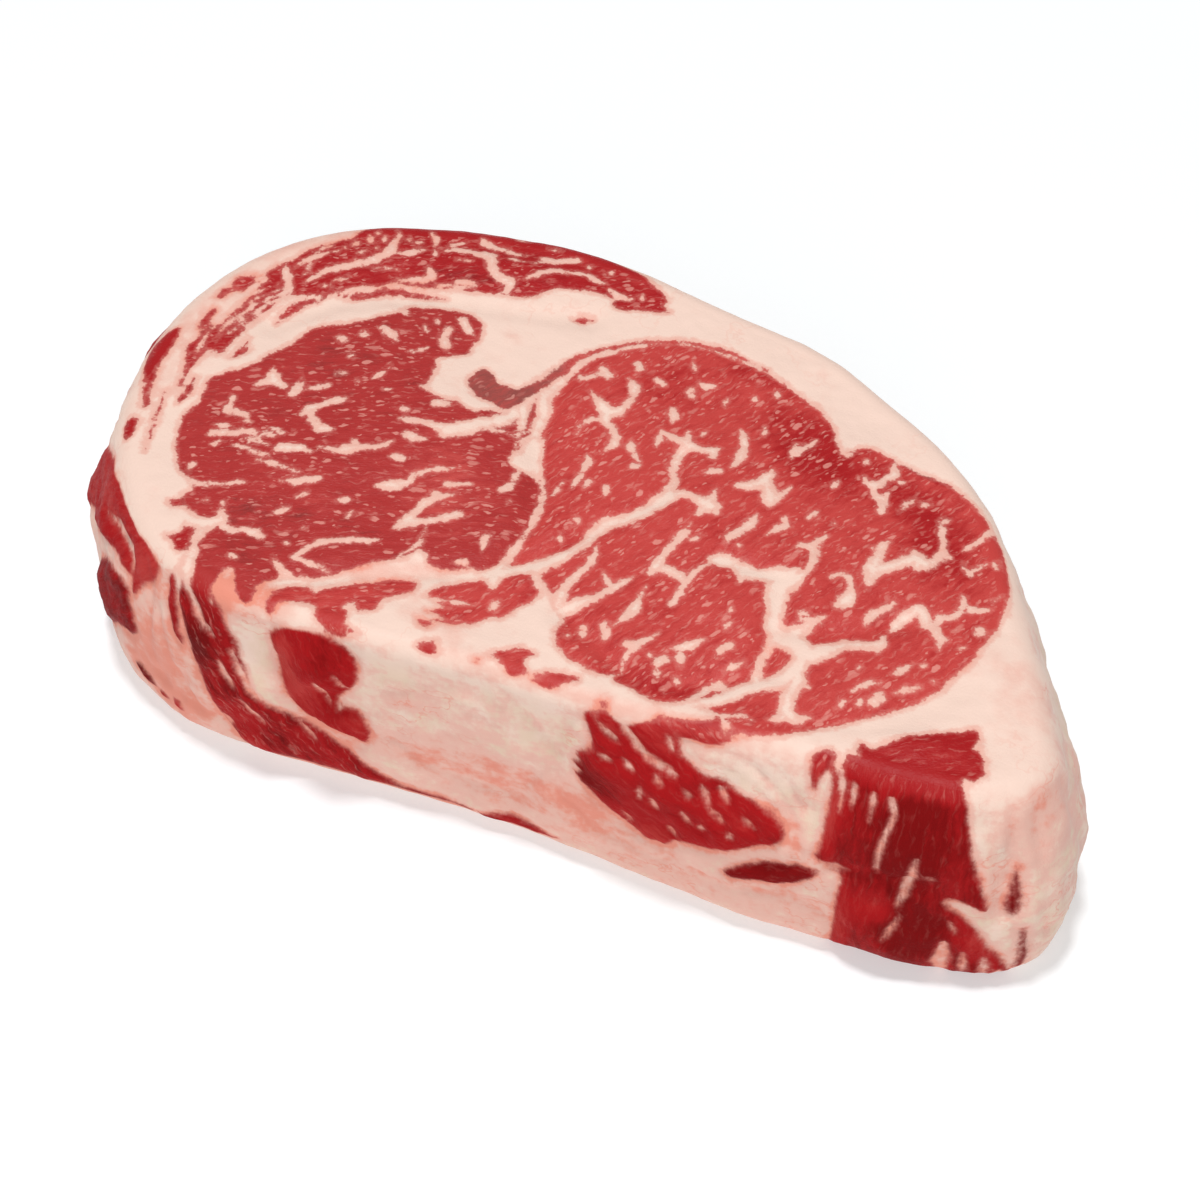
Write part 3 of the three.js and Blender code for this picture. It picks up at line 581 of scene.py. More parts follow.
    [(-59.9, -17, 0.8), (-58, -16.3, 0.8), (-55.8, -15.5, 0.6), (-54, -15.8, 0.4)],
    [(-61, -20.6, 0.2), (-59, -20.8, 0.4), (-55, -20.6, 0.2)],
    [(-55.8, -24.2, 0.4), (-53.5, -23.3, 0.6), (-50, -21.4, 0.6), (-49, -21.2, 0.3)],
    [(-51.7, -26.8, 0.3), (-50.2, -25, 0.3)], [(-53.6, -31, 0.5), (-52, -29.5, 0.4)],
    [(-53, -14, 0.3), (-49.5, -13.8, 0.5), (-48.3, -13, 1), (-46.7, -11.7, 0.8), (-45.5, -11, 0.6),
     (-43, -10, 0.5), (-42, -9, 0.6), (-41.2, -7.7, 0.4)],
    [(-47, -11, 0.5), (-48.2, -9.8, 0.3)], [(-39.3, -11, 0.6), (-37.8, -11, 0.5)],
    [(-39.2, -18.3, 0.5), (-37.5, -17.7, 0.9), (-35.5, -16.3, 0.9), (-34.5, -15.5, 0.7),
     (-34.3, -14, 0.4), (-32.5, -12, 0.4), (-30.5, -10.5, 0.4), (-28, -9.3, 0.3)],
    [(-45, -24.9, 0.3), (-43.3, -24.2, 0.5), (-42.2, -23.3, 0.3)],
    [(-41.2, -27, 0.5), (-40.5, -25.8, 0.3)], [(-73.3, -27.5, 0.3), (-73.3, -25.8, 0.5)],
    [(-74, -29.5, 0.5), (-70, -30, 0.4), (-66, -28.5, 0.3), (-63, -26.9, 0.4), (-61.5, -26.5, 0.2)],
    [(-67, -33, 0.5)], [(-63.7, -32.4, 0.4)], [(-48.8, -37.3, 0.6)],
    [(-63, -34.8, 0.5), (-62.3, -36.3, 1), (-64, -38, 1.1), (-67, -38.7, 1.2)],
    [(-61.5, -37.3, 0.5), (-59.5, -37.8, 0.5), (-57.3, -36.8, 0.3), (-55, -36.8, 0.7),
     (-53.6, -37.3, 0.5)],
    [(-47.3, -32.8, 0.4)], [(-57, -43.8, 0.4), (-55.5, -44.3, 0.4)],
    [(-63.8, -39, 0.9), (-64, -43, 0.6), (-63, -46, 0.9), (-62.5, -49, 1.1), (-61, -53, 0.8),
     (-58.5, -57, 0.8)],
    [(-65.2, -50, 1.3), (-63, -55, 1.3)], [(-55, -47.5, 0.8), (-54.5, -51, 1.5), (-52, -54.5, 1.6)],
    [(-45.7, -39.6, 0.5), (-45, -37.8, 0.4), (-43.5, -35.3, 0.5), (-41, -33.8, 0.5),
     (-38, -32.3, 0.5), (-35, -31.3, 0.5), (-33.7, -30.5, 0.3)],
    [(-45.7, -39.8, 0.5), (-43, -40, 0.3), (-40, -40.4, 0.3), (-37.5, -40.6, 0.3)],
    [(-49.8, -40.7, 0.3), (-48.5, -42, 0.5), (-46.8, -43, 0.5), (-45, -44.3, 0.8)],
    [(-29.3, -15.8, 0.5), (-28.3, -17, 0.8), (-29.8, -19.5, 0.8), (-30.3, -21.5, 0.5),
     (-30.8, -24, 1.1), (-31.8, -26, 0.6)],
    [(-28.3, -16.8, 0.6), (-27, -16, 0.4), (-25, -14.8, 0.2)],
    [(-30.5, -24.2, 1.1), (-28, -23.2, 0.6), (-26, -21.8, 0.5), (-24.2, -20.5, 0.7),
     (-22.8, -19.2, 0.7)],
    [(-27.3, -23.5, 0.3), (-26.6, -26, 0.3), (-26.5, -29, 0.4), (-28.5, -32.5, 0.3)],
    [(-27.8, -13.4, 0.5), (-26, -12.6, 0.4), (-23.5, -11.4, 0.3)],
    [(-16.2, -22.6, 0.6), (-15.9, -23.7, 0.5), (-15.3, -26, 0.2)],
    [(-17.3, -5.5, 0.6), (-17, -8, 0.4), (-17.3, -9.5, 0.7), (-18, -10.8, 0.5)],
    [(-16, -12.3, 0.3), (-15.8, -13.8, 0.3)], [(-19.2, -29.8, 0.4), (-17.5, -29.3, 0.6)],
    [(-36, 43, 0.4), (-34, 45.5, 0.5), (-32, 47.3, 0.5), (-30, 48.2, 0.4), (-27, 48.9, 0.4),
     (-25, 49, 0.4), (-23, 48.3, 0.4), (-21, 48.2, 0.3)],
    [(-35, 50.3, 0.5), (-33, 50.3, 0.7), (-31, 51.5, 0.5), (-29, 52.5, 0.5)],
    [(-65.2, 47.5, 0.3), (-64, 46, 0.4), (-64, 43.5, 0.5), (-63.7, 41, 1), (-65, 39, 0.7),
     (-66.7, 36.8, 0.7), (-69, 35, 0.6), (-71, 33.3, 0.6), (-73, 31.5, 0.6), (-74.5, 29.3, 0.4),
     (-75.5, 26.5, 0.3)],
    [(-58.5, 49, 0.4), (-57, 47.8, 0.5), (-56.5, 46, 0.4)],
    [(-48, 38, 0.5), (-46.5, 38.5, 0.5), (-44.5, 38.5, 0.4)],
    [(-20, 47, 0.4), (-17.5, 46, 0.6), (-15, 46.3, 0.3)], [(-13.6, 48.5, 0.3), (-13.4, 47, 0.3)],
    [(-26, 51.5, 0.4)], [(-21.5, 51.8, 0.4)], [(-84, 14, 0.3), (-84.6, 9, 0.3), (-84, 5, 0.3)],
    [(-86.5, 6, 0.3), (-86, 1, 0.4)],
    [(-53.8, 45, 0.4), (-52, 46.3, 0.6), (-49, 46.2, 0.5), (-46.5, 46.6, 0.7), (-44.6, 46.4, 1),
     (-43.6, 44.4, 0.8), (-42, 42.3, 0.7), (-40.3, 41.2, 0.7), (-38.2, 41.3, 0.8),
     (-38, 39.4, 0.5), (-39.5, 37.4, 0.3)],
    [(-48.8, 51.6, 0.4), (-47.6, 50.1, 0.7), (-44.2, 49.9, 0.5), (-41, 49.4, 0.4),
     (-38.6, 50, 0.3)],
    [(-51, 49.3, 0.3), (-53, 47.6, 0.5), (-53.8, 46, 0.3)],
    [(-61.6, 41.2, 0.4), (-59.6, 42.3, 0.8), (-57.6, 44, 0.4)],
    [(-55.2, 39.8, 0.3), (-53.6, 37.8, 0.7), (-54.6, 36.3, 0.5), (-57.6, 35.4, 0.4),
     (-60, 34, 0.3)],
    [(-52, 36, 0.3), (-49, 36.7, 0.4), (-45, 37.2, 0.3)],
    [(-79.2, 30.2, 0.3), (-78, 32.6, 0.7), (-76.3, 34.6, 0.4), (-74.6, 36.2, 0.3)],
    [(-77.4, 36, 0.3), (-75.3, 38.3, 0.4)],
    [(-81.6, 30.5, 0.3), (-80.2, 28.2, 0.5), (-78.8, 26, 0.5), (-77.7, 24.6, 0.6),
     (-78, 21.5, 0.5), (-78.3, 17.5, 0.4)],
    [(-82.3, 22.5, 0.3), (-82.2, 18, 0.4), (-82.5, 13, 0.4), (-83, 8.5, 0.3)],
    [(-80.2, 25, 0.3), (-79.9, 20, 0.4), (-80.3, 14.5, 0.4), (-81.2, 9, 0.3)],
    [(-77.2, 31, 0.3), (-76.3, 33, 0.3)], [(-76.8, 28.6, 0.3), (-76, 30.8, 0.3)],
    [(-69.6, 43.6, 0.4), (-68.7, 42.6, 0.5)], [(-68.4, 45.2, 0.4)],
    [(-66.6, 44.8, 0.4), (-66.4, 43.4, 0.3)], [(-70.8, 41.5, 0.4), (-71.3, 40.4, 0.5)],
    [(-68.3, 39.4, 0.3), (-69.5, 38.3, 0.4)], [(-72.6, 38.8, 0.4)], [(-66.6, 41.3, 0.4)],
    [(-74, 36.6, 0.3), (-73, 37.6, 0.3)], [(-62.2, 46.6, 0.4), (-61.6, 45.4, 0.4)],
    [(-60.6, 45.2, 0.3), (-59.2, 46, 0.4)],
    [(-64.8, 35.4, 0.3), (-62.6, 36.6, 0.3), (-60.4, 37, 0.3)],
    [(-70.6, 29.6, 0.3), (-68.4, 31.2, 0.3)], [(-72.4, 26.8, 0.3), (-70.5, 28, 0.3)],
    [(-56, 44.6, 0.3), (-55, 43, 0.4)], [(-35.4, 53.4, 0.3), (-32.6, 53.8, 0.3)],
    [(-42.4, 54, 0.3), (-39.8, 54.3, 0.3)], [(-41, 47.4, 0.3), (-38.4, 47.7, 0.3)],
    [(-36.6, 48, 0.3), (-35, 49, 0.3)], [(-50.2, 43.2, 0.3), (-47.6, 43.8, 0.3)],
    [(-74.3, -14.9, 0.4), (-72, -14.4, 0.5), (-70.5, -14.6, 0.3)],
    [(-69, -14.8, 0.3), (-67, -14.6, 0.5), (-64.5, -15.4, 0.4)],
    [(-66.8, -16.8, 0.4), (-64, -16.6, 0.4), (-61, -17.2, 0.3)],
    [(-72.5, -19.4, 0.4), (-71, -19.3, 0.4)],
    [(-68, -18.9, 0.4), (-65, -19, 0.4), (-61, -19.5, 0.4)],
    [(-62.5, -20.8, 0.3), (-58, -20.9, 0.4), (-53, -21.2, 0.3)],
    [(-64, -12.5, 0.4), (-62, -12.8, 0.5), (-60.5, -13.4, 0.4)],
    [(-70, -12.6, 0.3), (-68, -12.5, 0.4)],
]

# Lean on the side: tone, turn of the grain, wetness and outline.
SIDE_LEAN = [
    (0.6, 60, 0.3, [(-7, 42), (-8.5, 36), (-7, 28), (-5.6, 20.5), (-4.2, 20.5), (-3, 27),
        (-0.5, 33), (1, 37.5), (-0.5, 42)]),
    (0.72, 70, 0.2, [(0, 18.5), (0, 24), (0.6, 30), (2.4, 34), (5, 34), (7.6, 29), (7, 22),
        (5.4, 15.5), (4, 15.5), (3, 19)]),
    (0.62, 50, 0.6, [(9, 2), (9.5, 8), (10.8, 14), (12, 20), (14, 27), (18, 33.5), (24, 38.5),
        (31, 42), (40, 44.6), (57, 47), (59, 42), (58, 37.5), (55, 34), (53, 30.2), (52, 34),
        (50.5, 33.5), (46, 33.8), (41, 31.9), (36, 29.5), (31, 27), (25.5, 25), (21, 16), (20, 10),
        (21, 3), (15, 1)]),
    (0.2, 50, 0.6, [(25, 1), (25, 5), (30, 11), (35, 18), (38, 25), (41, 27.9), (45, 30.8),
        (51.3, 31.5), (52, 27.3), (53.5, 25), (54, 22.1), (52, 18.8), (47, 17.1), (42, 11.3),
        (36, 6), (32, 2)]),
    (0, 0, 0.3, [(50.5, 9.8), (52.5, 11.1), (55, 9.8), (56, 7.8), (54, 7.3), (52, 8.3)]),
    (0.5, 0, 0.3, [(56.5, 6.8), (58, 7.6), (59, 6.3), (57.5, 5.6)]),
    (0.8, 0, 0.2, [(60.5, 8.3), (62, 9.3), (63, 7.3), (61.5, 6.1)]),
    (0.35, -60, 0.3, [(61.6, 44), (62, 38), (62.8, 33), (64.5, 28.9), (66, 27.9), (65, 33),
        (64, 38), (63.4, 44)]),
    (0.3, -57, 0.1, [(64.4, 46), (64.8, 42), (64.2, 38.5), (65.8, 34), (67.2, 28.5), (68.8, 23.2),
        (70, 18.3), (71, 13.3), (73, 8.8), (75, 4.7), (77, 2.9), (84, 3.9), (95, 3.6), (105, 3.6),
        (109, 4.2), (105, 5.4), (101.5, 7.6), (98, 10.3), (95, 12.6), (93, 14.3), (90.5, 16.1),
        (88, 17.1), (85, 18.3), (82, 20.4), (79.6, 23), (78.2, 27.3), (76.8, 33), (75.2, 37),
        (74, 41), (72, 45), (70, 47)]),
    (0.5, -60, 0.75, [(83.4, 38.6), (85.7, 41), (88, 42.6), (92, 43), (96, 41.6), (98.9, 39),
        (100.1, 36), (99.7, 31.4), (97, 28), (95.8, 25.6), (96.6, 24.4), (99, 23.8), (101, 20.9),
        (101.5, 17.8), (100.5, 15.3), (98, 15.8), (93, 17.8), (89, 19.1), (86.4, 22.6),
        (84.8, 27.3), (83.6, 33), (83.2, 37)]),
    (0.2, 0, 0.4, [(103, 3.6), (108, 4.7), (116, 4.5), (121, 4.2), (118, 3.4), (108, 2.9)]),
    (0.35, 0, 0.4, [(122, 3.6), (124.5, 5.6), (128, 6.3), (132, 5.8), (136, 4.5), (138, 3.6),
        (130, 3.1)]),
    (0.45, -32, 0.6, [(141.8, 46), (142.6, 42), (143.8, 38), (144.6, 34.5), (143, 32.1),
        (141.2, 30.2), (142.5, 28.9), (140.6, 27.7), (142.4, 26.1), (141, 25), (143.4, 23.1),
        (146, 20.6), (150, 17.9), (153, 15.9), (156, 14.9), (159, 15.3), (161, 17.5), (165, 18.3),
        (168.5, 19.1), (172, 20.9), (176, 23.3), (179, 25), (180.6, 27.6), (179, 30.8),
        (175, 33.2), (171, 34), (167, 35.6), (163, 36.8), (160.4, 38.5), (160.4, 41), (158, 43.5),
        (156, 46)]),
    (0.72, -32, 0.4, [(156.5, 46), (158, 43.5), (160, 42), (163, 42.3), (166, 42), (168.5, 44),
        (169, 47)]),
    (0.04, 15, 0.7, [(169.8, 14.1), (172, 13.7), (176, 14.7), (180, 15.2), (183, 16.7),
        (185.4, 19.1), (187.5, 21.3), (185, 22), (181, 20.8), (177, 19.3), (173.6, 17.7),
        (171, 15.9)]),
    (0.65, 80, 0.4, [(182.3, 47), (182.8, 43), (184, 38), (185, 39.5), (186, 44), (186, 47)]),
    (0.26, 88, 0.6, [(187, 47), (187.3, 40), (187, 33), (186.4, 26.1), (186, 24.5), (188, 23.3),
        (191.2, 22.2), (190.8, 16.3), (190.6, 6.3), (190.8, -2), (207.6, -2), (207.7, 5.4),
        (208.6, 10.5), (209.3, 11.6), (210, 7.3), (210.4, -2), (218.6, -2), (218, 4.2),
        (216.4, 8.8), (214.6, 12.5), (213, 16.5), (211, 19.3), (209.3, 20.6), (208.4, 22.2),
        (210, 22.9), (212, 22.2), (214.4, 20.8), (213.8, 25), (212.4, 30.8), (211.2, 36),
        (210.3, 42), (209.6, 47)]),
    (0, 88, 0.4, [(218.3, 29.6), (217.4, 26.1), (216.7, 22.1), (216.6, 19.8), (218, 19.2),
        (218.5, 21.5), (218.6, 25.6)]),
    (0, 88, 0.4, [(218.5, 15.6), (219.2, 15.3), (219.8, 8.3), (219.7, 3.4), (218.6, 3.4),
        (218.7, 8.3)]),
]

# Fat lines that run through the lean of the side: points with their half width.
SIDE_VEINS = [
    [(37, 35.5, 0.3), (43, 37.8, 0.8), (50, 38, 0.7), (51.5, 35.5, 0.4)],
    [(13.5, 9, 0.3), (15, 13, 0.6), (16.5, 17, 0.3)],
    [(65, 44.5, 0.6), (67, 40.5, 0.7), (69, 37.5, 0.7), (70.6, 35.3, 0.6)],
    [(70.5, 36, 0.3), (72.5, 34.3, 0.3)], [(73.8, 28.3, 0.5), (74.2, 25, 0.9), (75.8, 22.4, 0.5)],
    [(75.8, 32, 0.35), (77.2, 27.3, 0.5), (79, 23.4, 0.5), (81, 21, 0.35)],
    [(77, 19.2, 0.4), (79.3, 16.6, 0.7), (80.8, 14.3, 0.4)],
    [(87.2, 16.2, 0.3), (89.4, 13.6, 0.4), (90.6, 12, 0.3)], [(71.5, 12.3, 0.5), (73.5, 9.8, 0.6)],
    [(66.2, 33, 0.3), (67.4, 28.5, 0.4)], [(72, 41, 0.4), (71.2, 44, 0.5)],
    [(92.3, 31.2, 0.3), (92.8, 28.4, 0.45), (94.3, 24.6, 0.4)],
    [(96.2, 33.8, 0.3), (97.6, 30.4, 0.3)], [(95.6, 23.4, 0.3), (96.6, 24.6, 0.4)],
    [(149.3, 42.5, 0.5), (151.2, 39.6, 0.7), (153.6, 37, 0.7), (157, 35.6, 0.6), (160.4, 34, 0.5)],
    [(145, 41, 0.4), (147.5, 38.5, 0.5), (149.5, 37, 0.3)], [(157.8, 42, 0.4), (159, 39, 0.5)],
    [(146.5, 33.4, 0.4), (148.2, 33, 0.5)], [(150.6, 34, 0.4), (152.6, 33, 0.5)],
    [(156.8, 33.2, 0.4), (157.8, 31.9, 0.5)], [(156.3, 27.9, 0.5), (157.2, 25.6, 0.5)],
    [(162, 31.5, 0.5), (163.2, 30.8, 0.5)], [(165, 33.5, 0.4), (166.4, 29.9, 0.5)],
    [(168, 33.3, 0.4), (169.8, 31.5, 0.5)], [(167, 29.1, 0.4), (169.5, 27.1, 0.5)],
    [(162, 26.7, 0.4), (163.4, 24.4, 0.5)], [(165.6, 24.3, 0.5)], [(171, 24.5, 0.5)],
    [(151, 19.9, 0.4), (152.3, 18.3, 0.4)], [(173, 29.1, 0.4), (175, 27.7, 0.4)],
    [(159.5, 20.4, 0.4), (160.7, 19.1, 0.4)], [(154.3, 30.2, 0.3), (154, 26.7, 0.4)],
    [(198.8, 43.4, 0.3), (197.8, 41.2, 0.3), (198.9, 39, 0.3), (198.1, 35.5, 0.35),
     (197.4, 31, 0.4), (197.2, 25.6, 0.35)],
    [(203.7, 31.9, 0.4), (203.3, 27.9, 0.6), (202.3, 22.6, 0.7), (201.5, 18.9, 0.4)],
    [(202.2, 16.8, 0.3), (200.8, 12.8, 0.4), (200, 10.3, 0.3)],
    [(188.5, 46, 0.6), (189, 41, 0.5), (189.3, 36, 0.3)],
    [(190.9, 46, 0.5), (191.3, 40, 0.4), (191.2, 37.5, 0.3)],
    [(194.3, 44, 0.2), (194.8, 40, 0.4), (194.9, 36.5, 0.3)],
    [(205.8, 28.2, 0.5), (206.5, 27.7, 0.4)], [(212, 9.3, 0.3), (212.2, 2.9, 0.5)],
    [(214.8, 8.3, 0.4), (215, 2.9, 0.6)], [(216.8, 4.7, 0.3), (217, 2, 0.6)],
    [(187, 24, 0.4), (192.6, 23.7, 0.3)], [(209.5, 17.3, 0.3), (210.5, 14.3, 0.3)],
]

# Creases and folds in the fat of the side: width, depth and the points along them.
SIDE_CREASES = [
    (0.7, 0.5, [(82.5, 44.4), (84.5, 41.4), (84.2, 38)]),
    (0.6, 0.4, [(79.5, 44.4), (81, 42), (83, 39.5)]),
    (1.1, 0.7, [(159, 41), (166, 41.5), (173, 40), (178, 36), (182, 29.7), (183, 25)]),
    (0.9, 0.5, [(163, 38.6), (170, 37.6), (176, 34.5), (180.5, 29.7), (181.5, 26.1)]),
    (0.8, 0.45, [(168, 44), (175, 42.5), (180, 38), (183, 33)]),
    (1, 0.6, [(217, 46), (217.3, 38), (217.6, 30.8)]),
    (1.2, 0.5, [(222, 44), (221, 29.7), (221.6, 12.3)]),
    (1, 0.4, [(213, 44), (214, 36), (215.6, 27.3), (216, 18.3)]),
    (1.3, 0.4, [(228, 40), (229, 25), (228, 8.3)]), (1, 0.4, [(235, 38), (234, 22.6), (236, 10.3)]),
    (0.9, 0.4, [(122, 43), (129, 39.5), (134, 34), (138, 27.3)]),
    (0.9, 0.35, [(103, 30.8), (110, 32.6), (118, 33.5), (126, 30.8)]),
    (0.9, 0.35, [(106, 18.3), (112, 14.3), (120, 12.8), (131, 12.3)]),
    (1, 0.5, [(76, 44.5), (79, 42), (82, 43)]), (0.8, 0.4, [(78, 40), (81, 41.5), (84.6, 42.5)]),
    (0.9, 0.4, [(164, 11.3), (172, 10.7), (181, 12.3), (188, 11.3)]),
    (1, 0.35, [(138, 18.3), (146, 12.3), (158, 10.3)]),
    (0.9, 0.45, [(56, 40), (58, 29.7), (57, 18.3)]), (0.9, 0.4, [(60, 33), (62, 22.6), (66, 12.3)]),
    (0.9, 0.4, [(55, 14.3), (61, 12.3), (69, 10.3)]), (0.9, 0.4, [(9, 30), (13, 37), (20, 41)]),
]

# Lighter and darker places of the lean: middle, half length, half width, turn, change of tone.
FACE_SHADES = [
    (32, 19, 20, 12, -30, -0.42), (60, 4, 14, 9, -45, -0.3), (4, 2, 18, 24, 0, 0.1),
    (60, -28, 14, 10, 30, 0.06), (-62, -33, 22, 9, -20, -0.06), (-28, -14, 14, 18, 0, 0.24),
    (-60, 10, 14, 10, 40, -0.08), (-45, 40, 22, 4, 10, -0.2), (-20, 52, 14, 5, -10, 0.1),
    (-52, -36, 20, 7, -25, -0.04), (22, -44, 18, 5, 5, -0.2), (28, -20, 14, 9, 0, 0.04),
    (-50, -24, 16, 7, 0, 0.12), (2, 28, 14, 9, 20, -0.12), (52, 14, 20, 8, -32, -0.3),
    (51, 22.4, 9, 1.1, -14, -0.8), (16, 34, 14, 4, -10, -0.2),
]
SIDE_SHADES = [
    (188, 34, 2.8, 18, 0, 0.5), (200, 46, 17, 4.5, 0, 0.5), (192, 10, 3.2, 17, 0, 0.5),
    (197, 18, 7, 5, 0, 0.4), (214, 12, 4, 11, 25, 0.5), (202, 34, 9, 14, 0, -0.45),
    (204, 14, 7, 13, 0, -0.35), (145, 26, 8, 7, 0, -0.45), (158, 40, 8, 5, -30, 0.35),
    (156, 17, 9, 4, 0, 0.3), (147, 40, 5, 5, 0, 0.25), (86, 31, 4.5, 14, 0, 0.6),
    (95.5, 38, 6, 7.5, 0, -0.28), (90, 26, 5, 8, 0, 0.3), (98, 21, 5, 5, 0, 0.2),
    (76, 14, 9, 7, 0, 0.3), (78, 6, 4, 5, 0, 0.4), (69, 31, 5, 9, 0, -0.25), (56, 38, 6, 9, 0, 0.3),
    (33, 38, 10, 5, 0, 0.15), (92, 10, 9, 6, -30, 0.15), (170, 29, 9, 4, -20, 0.15),
]

# Rosier places of the fat: middle, half length, half width, turn, how much.
FACE_ROSY = [
    (20, -53, 60, 7, 2, 0.65), (-88, 15, 10, 40, -8, 0.3), (40, -25, 16, 16, 0, 0.1),
    (64, -50, 20, 5, 0, 0.25), (-70, 45, 30, 12, 35, 0.3), (-24, -42, 30, 6, -20, 0.25),
    (-50, -50, 11, 7, -20, 0.55), (-20, 33, 16, 7, 0, -0.2), (70, -20, 14, 9, 50, 0.15),
    # At -26, -35: painted shade on the front fat seam, which the fill lamp lights more.
    (-60, 33, 26, 5, 25, 0.25), (86, -22, 12, 18, 30, 0.25), (-26, -35, 22, 4, 25, 0.3),
    (-54, -51.5, 5, 4.5, -40, 1.1), (-42, -51.5, 4, 3, 0, 0.4), (-48, -50, 3, 7, 0, 0.25),
    (-66, -53, 5, 5, 0, 0.5),
]
SIDE_ROSY = [
    (60, 20, 15, 22, 0, 0.68), (65, 9, 18, 9, 0, 0.3), (52, 15, 9, 9, 0, 0.3),
    (130, 17, 40, 9, 0, 0.5), (150, 12, 30, 13, 0, 0.2), (180, 12, 14, 10, 0, 0.15),
    (95, 15, 9, 4, -35, 0.5), (112, 30, 12, 4, 10, 0.22), (122, 27, 6, 5, 0, 0.25),
    (79, 32, 5, 14, 15, -0.3), (172, 38, 13, 7, -10, -0.15), (135, 40, 9, 8, 0, -0.15),
    (107, 40, 11, 6, 0, -0.15), (182, 28, 4, 6, 0, 0.45), (80, 43, 6, 4, 0, 0.4),
    (75.5, 42, 4, 5, 30, 1), (59, 40, 4, 9, 0, 0.5), (86, 43, 4, 3, 0, 0.4),
    (222, 34, 12, 14, 0, 0.35), (236, 26, 16, 20, 0, 0.2), (224, 41, 15, 8, 0, 0.35),
    (140, 4, 70, 4, 0, -0.15),
]


def colour(name, description, default):
    """A setting that holds a colour."""
    return bpy.props.FloatVectorProperty(
        name=name,
        description=description,
        subtype="COLOR",
        size=3,
        default=default,
        min=0,
        max=1,
    )


class SteakLook(bpy.types.PropertyGroup):
    """Colours and fine relief of the meat."""

    dark_lean: colour("Dark lean", "Colour of the darkest lean", (0.16, 0.006, 0.006))
    lean: colour("Lean", "Colour of the usual lean", (0.42, 0.013, 0.015))
    bright_lean: colour("Bright lean", "Colour of the brightest lean", (0.6, 0.064, 0.056))
    wet_lean: colour("Wet lean", "Colour that wet lean turns to", (0.36, 0.004, 0.006))
    flecks: colour("Flecks", "Colour of the fine marbling in the lean", (0.84, 0.36, 0.3))
    cream_fat: colour("Cream fat", "Colour of the palest fat", (0.92, 0.68, 0.575))
    tan_fat: colour("Tan fat", "Colour of the dried fat of the side", (0.84, 0.62, 0.47))
    pink_fat: colour("Pink fat", "Colour of fat stained by the lean", (0.86, 0.5, 0.41))
    rosy_fat: colour("Rosy fat", "Colour of the rosiest fat", (0.84, 0.3, 0.215))
    edge_wander: bpy.props.FloatProperty(
        name="Edge wander",
        description="How far the line between lean and fat wanders, in millimetres",
        default=0.5,
        min=0,
        max=2,
    )
    lean_bulge: bpy.props.FloatProperty(
        name="Lean bulge",
        description="How far lean stands out of the fat of the side",
        unit="LENGTH",
        default=0.0006,
        min=0,
        max=0.002,
    )
    roughness: bpy.props.FloatProperty(
        name="Roughness",
        description="Roughness of the cut face",
        subtype="FACTOR",
        default=0.47,
        min=0,
        max=1,
    )


class StudioLook(bpy.types.PropertyGroup):
    """The floor, the lights and the camera."""

    floor_colour: colour("Floor", "Colour of the plain floor", (0.6, 0.625, 0.635))
    floor_glow: bpy.props.FloatProperty(
        name="Floor glow",
        description="Light that the floor gives off, as a light table does",
        default=0.42,
        min=0,
    )
    sky_strength: bpy.props.FloatProperty(
        name="Sky strength",
        description="Strength of the even light from all round",
        default=0.22,
        min=0,
    )
    key_power: bpy.props.FloatProperty(
        name="Key light",
        description="Power of the lamp high above the steak",
        unit="POWER",
        default=36.5,
        min=0,
    )
    fill_power: bpy.props.FloatProperty(
        name="Fill light",
        description="Power of the lamp in front of the steak",
        unit="POWER",
        default=4.2,
        min=0,
    )
    azimuth: bpy.props.FloatProperty(
        name="Camera azimuth",
        description="How far the camera stands round to the right of the steak's front",
        subtype="ANGLE",
        default=math.radians(22),
    )
    elevation: bpy.props.FloatProperty(
        name="Camera elevation",
        description="Height of the camera over the ground, as an angle",
        subtype="ANGLE",
        default=math.radians(48),
    )
    distance: bpy.props.FloatProperty(
        name="Camera distance",
        description="Distance from the camera to the middle of the steak",
        unit="LENGTH",
        default=0.575,
        min=0.1,
    )
    middle: bpy.props.FloatVectorProperty(
        name="Middle",
        description="Where the middle of the steak's box lies in the layout, in millimetres",
        size=2,
        default=(0, 0),
    )


def smooth_loop(rows, steps):
    """A closed smooth curve through rows of numbers, drawn as many short steps."""
    rows = np.array(rows, float)
    before = np.roll(rows, 1, axis=0)[:, None]
    start = rows[:, None]
    end = np.roll(rows, -1, axis=0)[:, None]
    after = np.roll(rows, -2, axis=0)[:, None]
    t = (np.arange(steps) / steps)[None, :, None]
    curve = 0.5 * (
        2 * start
        + (end - before) * t
        + (2 * before - 5 * start + 4 * end - after) * t**2
        + (3 * start - before - 3 * end + after) * t**3
    )
    return curve.reshape(-1, rows.shape[1])


def closed(rows):
    """A loop of rows with its first row again at the end."""
    return np.vstack([rows, rows[:1]])


def even_loop(loop, count):
    """The same closed curve with its points at even distances, and its length."""
    full = closed(loop)
    runs = np.hypot(*np.diff(full[:, :2], axis=0).T)
    along = np.concatenate([[0], np.cumsum(runs)])
    wanted = along[-1] * np.arange(count) / count
    even = [np.interp(wanted, along, column) for column in full.T]
    return np.stack(even, axis=1), along[-1]


def smoothstep(value, low, high):
    """Rises smoothly from 0 at the low value to 1 at the high one."""
    t = np.clip((value - low) / (high - low), 0, 1)
    return t * t * (3 - 2 * t)


